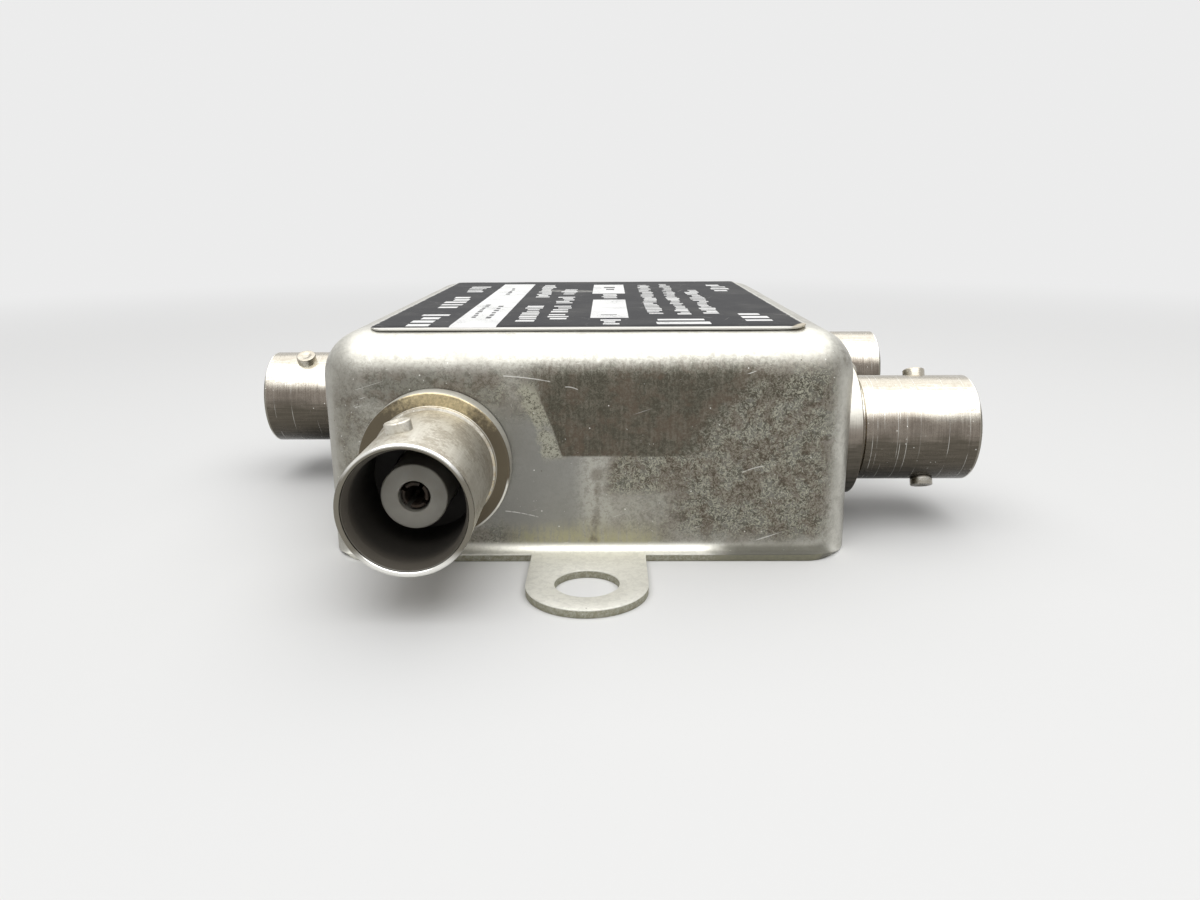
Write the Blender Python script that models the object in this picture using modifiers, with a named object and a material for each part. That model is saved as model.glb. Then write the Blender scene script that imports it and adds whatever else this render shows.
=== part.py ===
"""Five-port antenna coupler in a deep-drawn metal can, in metres, +Z up.

The origin is at the middle of the can, on the plane that the mounting tabs rest on.
The front, with one jack at its left, faces -Y. Every other piece is placed from the can.
"""

import math

import bmesh
import bpy
from mathutils import Matrix, Vector

# Drawn can
CASE_WIDTH = 0.0440
CASE_DEPTH = 0.0524
CASE_HEIGHT = 0.0188
SHEET = 0.00065
CASE_CORNER = 0.0040
FLARE_RADIUS = 0.0009
FLARE_FADE = 4

# Mounting tabs, one at the front and one at the rear
TAB_WIDTH = 0.0094
TAB_REACH = 0.0067
TAB_HOLE_RADIUS = 0.0025

# Bottom cover and top label
COVER_SHEET = 0.0004
LABEL_SIDE_MARGIN = 0.0041
LABEL_FRONT_MARGIN = 0.0028
LABEL_REAR_MARGIN = 0.0045
LABEL_CORNER = 0.0011
LABEL_SHEET = 0.00015
GLUE = 0.00005

# Bayonet jacks, measured outwards from the can's wall
JACK_HEIGHT = 0.0084
END_JACK_INSET = 0.0098
SIDE_JACK_INSET = 0.0112
FLANGE_RADIUS = 0.00605
FLANGE_SHEET = 0.00165
JACK_REACH = 0.0125
BARREL_RADIUS = 0.0048
MOUTH_ROUND = 0.0002
BORE_RADIUS = 0.0041
BORE_DEPTH = 0.0084
LEAD_IN_RADIUS = 0.00442
LEAD_IN_DEPTH = 0.0011
SHOULDER_WALL = 0.0014
BUSH_RADIUS = 0.0047
BUSH_REACH = 0.0055
LUG_RADIUS = 0.00098
LUG_SPAN = 0.0110
LUG_SETBACK = 0.0041
LUG_ROOT = 0.0003

# Insulator and centre contact
NOSE_RADIUS = 0.00242
NOSE_SETBACK = 0.0034
HEEL_RADIUS = 0.0031
HEEL_SETBACK = 0.0004
CONTACT_RADIUS = 0.0010
CONTACT_SETBACK = 0.0003
SOCKET_RADIUS = 0.00066
SOCKET_DEPTH = 0.0048
TAIL_RADIUS = 0.0006
TAIL_REACH = 0.0032
SLOT_WIDTH = 0.0003
SLOT_DEPTH = 0.0030

# Fixings inside the wall
WASHER_RADIUS = 0.0062
WASHER_SHEET = 0.0006
WASHER_TOOTH = 0.0006
WASHER_TEETH = 6
NUT_ACROSS_FLATS = 0.0127
NUT_SHEET = 0.0024
NUT_TURN = 90.0

# Circuit board and its posts
BOARD_SHEET = 0.0016
BOARD_CORNER = 0.0010
BOARD_MARGIN = 0.0006
POST_INSET = 0.0029
POST_Y = 0.0080
POST_RADIUS = 0.0016
POST_BORE = 0.0045
SCREW_RADIUS = 0.0009
SCREW_LENGTH = 0.0050
SCREW_HEAD_RADIUS = 0.0018
SCREW_HEAD_HEIGHT = 0.0012
SCREW_SLOT = 0.0004

# Hybrid transformers: a ferrite ring with a winding
RING_OUTER = 0.0040
RING_INNER = 0.0020
RING_HEIGHT = 0.0032
RING_ROUND = 0.0003
WINDING_WIRE = 0.00025
WINDING_SPACE = 0.00045
WINDING_TURNS = 5
WINDING_SWEEP = 285.0
ROW_GAP = 0.0006

# Air-wound coils
COIL_RADIUS = 0.0021
COIL_WIRE = 0.00035
COIL_PITCH = 0.0014
COIL_TURNS = 4

# Trimmer and disc capacitors, resistors
TRIMMER_MARGIN = 0.0015
TRIMMER_RADIUS = 0.0026
TRIMMER_HEIGHT = 0.0030
TRIMMER_ROTOR_RADIUS = 0.0017
TRIMMER_ROTOR_HEIGHT = 0.0010
TRIMMER_SLOT = 0.0005
DISC_COUNT = 3
DISC_SPACING = 0.0003
DISC_RADIUS = 0.0024
DISC_SHEET = 0.0013
DISC_STAND = 0.0012
DISC_LEG_RADIUS = 0.00025
DISC_LEG_SPREAD = 0.0012
RESISTOR_MARGIN = 0.0020
RESISTOR_RADIUS = 0.0011
RESISTOR_LENGTH = 0.0060
RESISTOR_LEG = 0.00025
RESISTOR_LEG_REACH = 0.0012

# Clearances between neighbouring pieces
SEAT = 0.0001
FIT = 0.00015
HOLE_FIT = 0.0002

# Facets of round shapes
CORNER_STEPS = 5
FLARE_STEPS = 3
LABEL_BENDS = 3
ROUND_STEPS = 24
SMALL_STEPS = 12
WIRE_SIDES = 1

FRONT, REAR, LEFT, RIGHT = -90.0, 90.0, 180.0, 0.0
END_JACK_X = END_JACK_INSET - CASE_WIDTH / 2
SIDE_JACK_Y = CASE_DEPTH / 2 - SIDE_JACK_INSET
# Port name, wall, place along the wall and turn of the bayonet lugs in degrees
PORTS = (
    ("front", FRONT, END_JACK_X, 11.0),
    ("left", LEFT, 0.0, -27.0),
    ("rear", REAR, END_JACK_X, 18.0),
    ("right_front", RIGHT, -SIDE_JACK_Y, -26.0),
    ("right_rear", RIGHT, SIDE_JACK_Y, 80.0),
)

# Colour, roughness and metallic value of each finish
FINISHES = {
    "plated_can": ((0.56, 0.55, 0.52), 0.38, 0.9),
    "plated_jack": ((0.62, 0.60, 0.56), 0.28, 1.0),
    "label_black": ((0.045, 0.043, 0.045), 0.5, 0.0),
    "white_dielectric": ((0.72, 0.71, 0.68), 0.45, 0.0),
    "gilt_contact": ((0.62, 0.48, 0.25), 0.3, 1.0),
    "zinc_hardware": ((0.60, 0.60, 0.60), 0.35, 1.0),
    "board_green": ((0.10, 0.22, 0.12), 0.5, 0.0),
    "ferrite_grey": ((0.09, 0.09, 0.10), 0.6, 0.0),
    "enamelled_copper": ((0.55, 0.22, 0.10), 0.3, 0.9),
    "ceramic_tan": ((0.55, 0.38, 0.20), 0.5, 0.0),
    "trimmer_white": ((0.70, 0.68, 0.62), 0.5, 0.0),
    "resistor_brown": ((0.30, 0.18, 0.10), 0.5, 0.0),
}


def clear_scene():
    """Remove everything that the startup scene holds."""
    for obj in list(bpy.data.objects):
        bpy.data.objects.remove(obj)


def make_collection(name):
    """Return a new collection, linked to the scene."""
    collection = bpy.data.collections.new(name)
    bpy.context.scene.collection.children.link(collection)
    return collection


def finish_of(node, finish):
    """Return a node's own material in one of the finishes."""
    colour, roughness, metallic = FINISHES[finish]
    material = bpy.data.materials.new(node)
    material.use_nodes = True
    shader = material.node_tree.nodes["Principled BSDF"]
    shader.inputs["Base Color"].default_value = (*colour, 1.0)
    shader.inputs["Roughness"].default_value = roughness
    shader.inputs["Metallic"].default_value = metallic
    return material


def add_object(name, data, collection, finish=None):
    """Wrap mesh or curve data in an object, with its own material if it is a piece."""
    obj = bpy.data.objects.new(name, data)
    collection.objects.link(obj)
    if finish:
        data.materials.append(finish_of(name, finish))
    return obj


def as_cutter(obj):
    """Mark an object as a helper that isn't part of the product."""
    obj.hide_render = True
    obj.display_type = "WIRE"
    return obj


def combine(obj, helper, operation):
    """Join a helper to a piece, or cut it out."""
    modifier = obj.modifiers.new(operation.title(), "BOOLEAN")
    modifier.operation = operation
    modifier.object = helper
    modifier.solver = "EXACT"


def smooth(mesh):
    """Shade a mesh smooth, apart from its real edges."""
    mesh.shade_smooth()
    mesh.set_sharp_from_angle(angle=math.radians(35.0))


def mesh_from(name, fill):
    """Return a mesh whose faces the given function makes in a bmesh."""
    mesh = bpy.data.meshes.new(name)
    work = bmesh.new()
    fill(work)
    work.to_mesh(mesh)
    work.free()
    return mesh


def turned(name, profile, steps, closed=True):
    """Return mesh data of a profile turned about Z; it runs down its outer side."""
    mesh = bpy.data.meshes.new(name)
    points = [(radius, 0.0, height) for radius, height in profile]
    edges = [(i, i + 1) for i in range(len(points) - 1)]
    if closed:
        edges.append((len(points) - 1, 0))
    mesh.from_pydata(points, edges, [])
    holder = bpy.data.objects.new(name + "_profile", mesh)
    bpy.context.scene.collection.objects.link(holder)
    screw = holder.modifiers.new("Turn", "SCREW")
    screw.axis = "Z"
    screw.angle = 2 * math.pi
    screw.steps = steps
    screw.render_steps = steps
    screw.use_merge_vertices = True
    screw.merge_threshold = 0.00001
    graph = bpy.context.evaluated_depsgraph_get()
    result = bpy.data.meshes.new_from_object(holder.evaluated_get(graph))
    result.name = name
    bpy.data.objects.remove(holder)
    smooth(result)
    return result


def cylinder(name, radius, low, high, steps):
    """Return mesh data of a plain cylinder along Z between two heights."""
    middle = Matrix.Translation((0.0, 0.0, (low + high) / 2))

    def fill(work):
        bmesh.ops.create_cone(
            work, cap_ends=True, segments=steps, radius1=radius, radius2=radius,
            depth=high - low, matrix=middle,
        )

    mesh = mesh_from(name, fill)
    smooth(mesh)
    return mesh


def box(name, size, centre):
    """Return mesh data of a box."""
    place = Matrix.Translation(centre) @ Matrix.Diagonal((*size, 1.0))
    return mesh_from(name, lambda work: bmesh.ops.create_cube(work, size=1.0, matrix=place))


def arc(centre, radius, start, end, steps):
    """Return points on an arc, angles in degrees, both ends included."""
    angles = [math.radians(start + (end - start) * i / steps) for i in range(steps + 1)]
    return [(centre[0] + radius * math.cos(a), centre[1] + radius * math.sin(a)) for a in angles]


def rounded_rectangle(width, depth, radius, steps):
    """Return the outline of a rounded rectangle about the origin."""
    outline = []
    for i, (side_x, side_y) in enumerate(((1, 1), (-1, 1), (-1, -1), (1, -1))):
        centre = (side_x * (width / 2 - radius), side_y * (depth / 2 - radius))
        outline += arc(centre, radius, 90.0 * i, 90.0 * (i + 1), steps)
    return outline


def plate(name, outlines, thickness):
    """Return flat curve data: the first outline is the edge, the others are holes."""
    curve = bpy.data.curves.new(name, "CURVE")
    curve.dimensions = "2D"
    curve.fill_mode = "BOTH"
    curve.extrude = thickness / 2
    for outline in outlines:
        spline = curve.splines.new("POLY")
        spline.points.add(len(outline) - 1)
        for point, (x, y) in zip(spline.points, outline):
            point.co = (x, y, 0.0, 1.0)
        spline.use_cyclic_u = True
    return curve


def wire(name, path, radius):
    """Return curve data of a round wire along a path."""
    curve = bpy.data.curves.new(name, "CURVE")
    curve.dimensions = "3D"
    curve.bevel_depth = radius
    curve.bevel_resolution = WIRE_SIDES
    curve.use_fill_caps = True
    spline = curve.splines.new("POLY")
    spline.points.add(len(path) - 1)
    for point, place in zip(spline.points, path):
        point.co = (*place, 1.0)
    return curve


def mesh_of_curve(curve):
    """Return a curve's shape as closed mesh data, for bending it or joining it."""
    holder = bpy.data.objects.new(curve.name + "_curve", curve)
    bpy.context.scene.collection.objects.link(holder)
    graph = bpy.context.evaluated_depsgraph_get()
    mesh = bpy.data.meshes.new_from_object(holder.evaluated_get(graph))
    bpy.data.objects.remove(holder)
    work = bmesh.new()
    work.from_mesh(mesh)
    bmesh.ops.remove_doubles(work, verts=work.verts, dist=0.000001)
    work.to_mesh(mesh)
    work.free()
    return mesh


def edge_radius():
    """Return the radius of the can's round edges, which end above the washers' flat seats."""
    return min(CASE_CORNER, CASE_HEIGHT - JACK_HEIGHT - WASHER_RADIUS)


def outward_of(vertex):
    """Return the level direction in which a point of the can's rounded rim faces."""
    straight_x = CASE_WIDTH / 2 - edge_radius()
    straight_y = CASE_DEPTH / 2 - edge_radius()
    nearest_x = max(-straight_x, min(straight_x, vertex.co.x))
    nearest_y = max(-straight_y, min(straight_y, vertex.co.y))
    return Vector((vertex.co.x - nearest_x, vertex.co.y - nearest_y, 0.0)).normalized()


def flare_offset(outward, step):
    """Return how far a rim point has moved after a step of the flare.

    The rim flares at the front and rear. At the sides it stays straight and reaches down
    to the plane of the tabs' undersides.
    """
    share = outward.y ** FLARE_FADE
    bend = math.radians(90.0 * step / FLARE_STEPS)
    reach = share * FLARE_RADIUS * (1 - math.cos(bend))
    drop = FLARE_RADIUS * math.sin(bend) + (1 - share) * SHEET * step / FLARE_STEPS
    return outward * reach - Vector((0.0, 0.0, drop))


def draw_rim(work):
    """Draw the can's open rim down, and outwards where it flares."""
    directions = {v: outward_of(v) for edge in work.edges if edge.is_boundary for v in edge.verts}
    for step in range(1, FLARE_STEPS + 1):
        rim = [edge for edge in work.edges if edge.is_boundary]
        made = bmesh.ops.extrude_edge_only(work, edges=rim)["geom"]
        fresh = [item for item in made if isinstance(item, bmesh.types.BMVert)]
        drawn = {}
        for vertex in fresh:
            source = next(v for edge in vertex.link_edges for v in edge.verts if v in directions)
            outward = directions[source]
            drawn[vertex] = outward
            vertex.co += flare_offset(outward, step) - flare_offset(outward, step - 1)
        directions = drawn


def draw_tab(work, side):
    """Draw one rounded tab out of the rim, at the front (-1) or the rear (1)."""
    half = TAB_WIDTH / 2
    on_tab = [
        edge for edge in work.edges
        if edge.is_boundary
        and all(abs(abs(v.co.x) - half) < SEAT / 10 and v.co.y * side > 0 for v in edge.verts)
    ]
    made = bmesh.ops.extrude_edge_only(work, edges=on_tab)["geom"]
    ends = sorted((v for v in made if isinstance(v, bmesh.types.BMVert)), key=lambda v: v.co.x)
    centre_y = side * (CASE_DEPTH / 2 + TAB_REACH)
    for vertex in ends:
        vertex.co.y = centre_y
    height = ends[0].co.z
    turn = arc((0.0, centre_y), half, 0.0, 180.0 * side, 2 * CORNER_STEPS)[1:-1]
    round_end = [work.verts.new((x, y, height)) for x, y in turn]
    work.faces.new([ends[0], ends[1], *round_end])


def fill_case(work):
    """Make the can's outer skin: an open box with round edges, a flared rim and two tabs."""
    rim_height = SHEET + FLARE_RADIUS
    side_height = CASE_HEIGHT - rim_height
    middle = Matrix.Translation((0.0, 0.0, rim_height + side_height / 2))
    size = Matrix.Diagonal((CASE_WIDTH, CASE_DEPTH, side_height, 1.0))
    bmesh.ops.create_cube(work, size=1.0, matrix=middle @ size)
    floor = [face for face in work.faces if face.normal.z < -0.5]
    bmesh.ops.delete(work, geom=floor, context="FACES_ONLY")
    edges = [edge for edge in work.edges if not edge.is_boundary]
    bmesh.ops.bevel(
        work, geom=edges, offset=edge_radius(), segments=CORNER_STEPS,
        profile=0.5, affect="EDGES", offset_type="OFFSET", clamp_overlap=False,
    )
    for side in (-1, 1):
        everything = work.verts[:] + work.edges[:] + work.faces[:]
        bmesh.ops.bisect_plane(
            work, geom=everything, plane_co=(side * TAB_WIDTH / 2, 0.0, 0.0), plane_no=(1.0, 0.0, 0.0)
        )
    draw_rim(work)
    for side in (-1, 1):
        draw_tab(work, side)
    bmesh.ops.recalc_face_normals(work, faces=work.faces[:])
    if max(work.faces, key=lambda face: face.calc_center_median().z).normal.z < 0:
        bmesh.ops.reverse_faces(work, faces=work.faces[:])


def port_matrix(wall, place, turn=0.0):
    """Return the place of a port: its origin on the can's wall, +Z straight out of it."""
    reach = CASE_WIDTH / 2 if wall in (LEFT, RIGHT) else CASE_DEPTH / 2
    facing = Matrix.Rotation(math.radians(wall), 4, "Z")
    outward = facing @ Vector((1.0, 0.0, 0.0))
    along = Vector((abs(outward.y), abs(outward.x), 0.0))
    origin = outward * reach + along * place + Vector((0.0, 0.0, JACK_HEIGHT))
    tip = Matrix.Rotation(math.radians(90.0), 4, "Y")
    spin = Matrix.Rotation(math.radians(turn), 4, "Z")
    return Matrix.Translation(origin) @ facing @ tip @ spin


def build_case(parts, cutters):
    """Build the can, its rim ground flush, with a hole for each jack and one in each tab."""
    skin = add_object("case_skin", mesh_from("case_skin", fill_case), cutters)
    wall = skin.modifiers.new("Sheet", "SOLIDIFY")
    wall.thickness = SHEET
    wall.offset = -1.0
    wall.use_even_offset = True
    graph = bpy.context.evaluated_depsgraph_get()
    mesh = bpy.data.meshes.new_from_object(skin.evaluated_get(graph))
    bpy.data.objects.remove(skin)
    for vertex in mesh.vertices:
        vertex.co.z = max(vertex.co.z, 0.0)
    smooth(mesh)
    case = add_object("case", mesh, parts, "plated_can")
    for name, side, place, _turn in PORTS:
        hole = cylinder(name + "_port_hole", BUSH_RADIUS + HOLE_FIT, -3 * SHEET, 3 * SHEET, ROUND_STEPS)
        cutter = as_cutter(add_object(name + "_port_hole", hole, cutters))
        cutter.matrix_world = port_matrix(side, place)
        combine(case, cutter, "DIFFERENCE")
    for name, side in (("front", -1), ("rear", 1)):
        hole = cylinder(name + "_tab_hole", TAB_HOLE_RADIUS, -SHEET, 2 * SHEET, ROUND_STEPS)
        cutter = as_cutter(add_object(name + "_tab_hole", hole, cutters))
        cutter.location = (0.0, side * (CASE_DEPTH / 2 + TAB_REACH), 0.0)
        combine(case, cutter, "DIFFERENCE")


def build_cover(parts):
    """Build the flat cover that closes the can's mouth."""
    inset = SHEET + FIT
    outline = rounded_rectangle(
        CASE_WIDTH - 2 * inset, CASE_DEPTH - 2 * inset, edge_radius() - inset, CORNER_STEPS
    )
    data = plate("bottom_cover", [outline], COVER_SHEET)
    cover = add_object("bottom_cover", data, parts, "plated_can")
    cover.location.z = COVER_SHEET / 2


def build_label(parts):
    """Build the foil label, whose front edge bends down over the can's round edge."""
    width = CASE_WIDTH - 2 * LABEL_SIDE_MARGIN
    front = LABEL_FRONT_MARGIN - CASE_DEPTH / 2
    rear = CASE_DEPTH / 2 - LABEL_REAR_MARGIN
    outline = rounded_rectangle(width, rear - front, LABEL_CORNER, CORNER_STEPS)
    flat = mesh_of_curve(plate("label", [outline], LABEL_SHEET))
    bend_start = CASE_DEPTH / 2 - edge_radius()
    bend_radius = edge_radius() + GLUE
    work = bmesh.new()
    work.from_mesh(flat)
    middle = Vector((0.0, (front + rear) / 2, CASE_HEIGHT + GLUE + LABEL_SHEET / 2))
    bmesh.ops.translate(work, verts=work.verts[:], vec=middle)
    for share in range(LABEL_BENDS):
        row = -bend_start - (-bend_start - front) * share / LABEL_BENDS
        everything = work.verts[:] + work.edges[:] + work.faces[:]
        bmesh.ops.bisect_plane(
            work, geom=everything, plane_co=(0.0, row, 0.0), plane_no=(0.0, 1.0, 0.0)
        )
    for vertex in work.verts:
        past = max(-vertex.co.y - bend_start, 0.0)
        vertex.co.z -= bend_radius - math.sqrt(bend_radius * bend_radius - past * past)
    mesh = bpy.data.meshes.new("label")
    work.to_mesh(mesh)
    work.free()
    smooth(mesh)
    add_object("label", mesh, parts, "label_black")


def shell_profile():
    """Return the section of a jack's body, from its mouth down to the end of its bush."""
    mouth = JACK_REACH
    floor = JACK_REACH - BORE_DEPTH
    shoulder = floor - SHOULDER_WALL
    edge = BARREL_RADIUS - MOUTH_ROUND
    back = -BUSH_REACH
    flange_back = SEAT
    flange_front = flange_back + FLANGE_SHEET
    nose_bore = NOSE_RADIUS + FIT
    heel_bore = HEEL_RADIUS + FIT
    return [
        (edge, mouth),
        (BARREL_RADIUS, mouth - MOUTH_ROUND),
        (BARREL_RADIUS, flange_front),
        (FLANGE_RADIUS - MOUTH_ROUND, flange_front),
        (FLANGE_RADIUS, flange_front - MOUTH_ROUND),
        (FLANGE_RADIUS, flange_back),
        (BUSH_RADIUS, flange_back),
        (BUSH_RADIUS, back),
        (heel_bore, back),
        (heel_bore, shoulder),
        (nose_bore, shoulder),
        (nose_bore, floor),
        (BORE_RADIUS, floor),
        (BORE_RADIUS, mouth - LEAD_IN_DEPTH),
        (LEAD_IN_RADIUS, mouth),
    ]


def fill_lugs(work):
    """Make the two bayonet lugs, which start inside the barrel's wall."""
    root = BORE_RADIUS + LUG_ROOT
    length = LUG_SPAN / 2 - root
    height = JACK_REACH - LUG_SETBACK
    for side in (-1, 1):
        place = Matrix.Translation((side * (root + length / 2), 0.0, height))
        bmesh.ops.create_cone(
            work, cap_ends=True, segments=SMALL_STEPS, radius1=LUG_RADIUS, radius2=LUG_RADIUS,
            depth=length, matrix=place @ Matrix.Rotation(math.radians(90.0), 4, "Y"),
        )


def insulator_profile():
    """Return the section of the stepped insulator between shell and contact."""
    front = JACK_REACH - NOSE_SETBACK
    step = JACK_REACH - BORE_DEPTH - SHOULDER_WALL - FIT
    back = -BUSH_REACH + HEEL_SETBACK
    hole = CONTACT_RADIUS + FIT
    return [
        (NOSE_RADIUS, front),
        (NOSE_RADIUS, step),
        (HEEL_RADIUS, step),
        (HEEL_RADIUS, back),
        (hole, back),
        (hole, front),
    ]


def contact_profile():
    """Return the section of the centre contact, a socket in front and a tail behind."""
    front = JACK_REACH - NOSE_SETBACK - CONTACT_SETBACK
    back = -BUSH_REACH + HEEL_SETBACK
    return [
        (0.0, front - SOCKET_DEPTH),
        (SOCKET_RADIUS, front - SOCKET_DEPTH),
        (SOCKET_RADIUS, front),
        (CONTACT_RADIUS, front),
        (CONTACT_RADIUS, back),
        (TAIL_RADIUS, back),
        (TAIL_RADIUS, -BUSH_REACH - TAIL_REACH),
        (0.0, -BUSH_REACH - TAIL_REACH),
    ]


def washer_outline():
    """Return the inner outline of a lock washer with teeth that face the bush."""
    tips = BUSH_RADIUS + FIT
    roots = tips + WASHER_TOOTH
    outline = []
    for tooth in range(WASHER_TEETH):
        start = 360.0 * tooth / WASHER_TEETH
        outline += arc((0.0, 0.0), tips, start, start + 150.0 / WASHER_TEETH, 1)
        outline += arc((0.0, 0.0), roots, start + 180.0 / WASHER_TEETH, start + 330.0 / WASHER_TEETH, 1)
    return outline


def build_nut(name, parts, cutters, low):
    """Build a hexagon nut whose lower face is at the given height."""
    corner_radius = NUT_ACROSS_FLATS / 2 / math.cos(math.radians(30.0))
    data = cylinder(name, corner_radius, low - NUT_SHEET, low, 6)
    nut = add_object(name, data, parts, "zinc_hardware")
    low_end, high_end = low - 2 * NUT_SHEET, low + NUT_SHEET
    bore = cylinder(name + "_bore", BUSH_RADIUS + FIT, low_end, high_end, ROUND_STEPS)
    cutter = as_cutter(add_object(name + "_bore", bore, cutters))
    combine(nut, cutter, "DIFFERENCE")
    return nut, cutter


def build_jack(port, wall, place, turn, parts, cutters):
    """Build one bayonet jack and its fixings on a wall of the can."""
    stand = port_matrix(wall, place, turn)
    upright = port_matrix(wall, place)
    shell_name = port + "_jack_shell"
    data = turned(shell_name, shell_profile(), ROUND_STEPS)
    shell = add_object(shell_name, data, parts, "plated_jack")
    lugs = as_cutter(add_object(port + "_lugs", mesh_from(port + "_lugs", fill_lugs), cutters))
    combine(shell, lugs, "UNION")
    insulator_name = port + "_jack_insulator"
    data = turned(insulator_name, insulator_profile(), ROUND_STEPS)
    insulator = add_object(insulator_name, data, parts, "white_dielectric")
    contact_name = port + "_jack_contact"
    data = turned(contact_name, contact_profile(), SMALL_STEPS, closed=False)
    contact = add_object(contact_name, data, parts, "gilt_contact")
    slots = []
    slot_height = JACK_REACH - NOSE_SETBACK - CONTACT_SETBACK
    across = 4 * CONTACT_RADIUS
    for name, size in (("_slot", (SLOT_WIDTH, across)), ("_cross_slot", (across, SLOT_WIDTH))):
        data = box(port + name, (*size, 2 * SLOT_DEPTH), (0.0, 0.0, slot_height))
        slots.append(as_cutter(add_object(port + name, data, cutters)))
        combine(contact, slots[-1], "DIFFERENCE")
    washer_name = port + "_jack_washer"
    rings = [arc((0.0, 0.0), WASHER_RADIUS, 0.0, 360.0, ROUND_STEPS)[:-1], washer_outline()]
    washer = add_object(washer_name, plate(washer_name, rings, WASHER_SHEET), parts, "zinc_hardware")
    nut_top = -SHEET - SEAT - WASHER_SHEET - SEAT
    nut, nut_bore = build_nut(port + "_jack_nut", parts, cutters, nut_top)
    for piece in (shell, lugs, insulator, contact, *slots):
        piece.matrix_world = stand
    for piece in (nut, nut_bore):
        piece.matrix_world = upright @ Matrix.Rotation(math.radians(NUT_TURN), 4, "Z")
    washer_middle = -SHEET - SEAT - WASHER_SHEET / 2
    washer.matrix_world = upright @ Matrix.Translation((0.0, 0.0, washer_middle))


def board_top():
    """Return the height of the board's upper face, just under the contacts' tails."""
    return JACK_HEIGHT - TAIL_RADIUS - SEAT


def board_half(case_size):
    """Return half the board's width or depth, so that it ends short of the jacks' bushes."""
    return case_size / 2 - BUSH_REACH - BOARD_MARGIN


def post_spots():
    """Return the places of the four posts."""
    post_x = board_half(CASE_WIDTH) - POST_INSET
    return [(x * post_x, y * POST_Y) for x in (-1, 1) for y in (-1, 1)]


def row_places():
    """Return the X of the transformers and of the coils, which share the space between the posts."""
    ring_half = RING_OUTER + WINDING_SPACE + WINDING_WIRE
    coil_half = COIL_RADIUS + COIL_WIRE
    whole = 2 * ring_half + ROW_GAP + 2 * coil_half
    return ring_half - whole / 2, whole / 2 - coil_half


def resistor_y():
    """Return how far the resistors lie from the middle, near the board's ends."""
    return board_half(CASE_DEPTH) - RESISTOR_MARGIN - RESISTOR_RADIUS


def trimmer_y():
    """Return how far the trimmers lie from the middle, near the board's ends."""
    return board_half(CASE_DEPTH) - TRIMMER_MARGIN - TRIMMER_RADIUS


def between_discs_and(edge):
    """Return the middle of the space between the row of discs and the given edge."""
    return (DISC_SHEET / 2 + edge) / 2


def build_board(parts):
    """Build the circuit board with its screw holes."""
    width, depth = 2 * board_half(CASE_WIDTH), 2 * board_half(CASE_DEPTH)
    edge = rounded_rectangle(width, depth, BOARD_CORNER, 2)
    holes = [arc(spot, SCREW_RADIUS + HOLE_FIT, 0.0, 360.0, SMALL_STEPS)[:-1] for spot in post_spots()]
    board = add_object(
        "circuit_board", plate("circuit_board", [edge, *holes], BOARD_SHEET), parts, "board_green"
    )
    board.location.z = board_top() - BOARD_SHEET / 2


def build_post(number, spot, parts, cutters):
    """Build one ground post, from the board up to the can's top, and its screw."""
    low = board_top() + SEAT
    high = CASE_HEIGHT - SHEET - SEAT
    bore = SCREW_RADIUS + FIT
    profile = [
        (0.0, high), (POST_RADIUS, high), (POST_RADIUS, low),
        (bore, low), (bore, low + POST_BORE), (0.0, low + POST_BORE),
    ]
    name = f"ground_post_{number}"
    post = add_object(name, turned(name, profile, SMALL_STEPS, closed=False), parts, "zinc_hardware")
    post.location = (*spot, 0.0)
    seat = board_top() - BOARD_SHEET - SEAT
    profile = [
        (0.0, seat + SCREW_LENGTH),
        (SCREW_RADIUS, seat + SCREW_LENGTH),
        (SCREW_RADIUS, seat),
        (SCREW_HEAD_RADIUS, seat),
        (SCREW_HEAD_RADIUS, seat - SCREW_HEAD_HEIGHT / 2),
        (SCREW_HEAD_RADIUS * 0.7, seat - SCREW_HEAD_HEIGHT),
        (0.0, seat - SCREW_HEAD_HEIGHT),
    ]
    name = f"post_screw_{number}"
    screw = add_object(name, turned(name, profile, SMALL_STEPS, closed=False), parts, "zinc_hardware")
    slot = box(
        name + "_slot", (SCREW_SLOT, 3 * SCREW_HEAD_RADIUS, SCREW_HEAD_HEIGHT),
        (0.0, 0.0, seat - SCREW_HEAD_HEIGHT),
    )
    cutter = as_cutter(add_object(name + "_slot", slot, cutters))
    combine(screw, cutter, "DIFFERENCE")
    for piece in (screw, cutter):
        piece.location = (*spot, 0.0)


def ring_middle():
    """Return the height of a ferrite ring's middle, with room for its winding below."""
    return board_top() + SEAT + 2 * WINDING_WIRE + WINDING_SPACE + RING_HEIGHT / 2


def winding_path(centre_x, centre_y):
    """Return the wire's path through and round one ferrite ring, ends down to the board."""
    half_height = RING_HEIGHT / 2 + WINDING_SPACE
    outer = RING_OUTER + WINDING_SPACE
    inner = RING_INNER - WINDING_SPACE
    cut = WINDING_SPACE * 0.8
    section = [
        (outer, -half_height + cut), (outer, half_height - cut),
        (outer - cut, half_height), (inner + cut, half_height),
        (inner, half_height - cut), (inner, -half_height + cut),
        (inner + cut, -half_height), (outer - cut, -half_height),
    ]
    count = WINDING_TURNS * len(section)
    foot = board_top() + SEAT + WINDING_WIRE
    path = []
    for i in range(count - 1):
        angle = math.radians(WINDING_SWEEP * i / count)
        radius, height = section[i % len(section)]
        x, y = radius * math.cos(angle), radius * math.sin(angle)
        path.append((centre_x + x, centre_y + y, ring_middle() + height))
    first, last = path[0], path[-1]
    return [(first[0], first[1], foot), *path, (last[0], last[1], foot - WINDING_WIRE / 2)]


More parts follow.
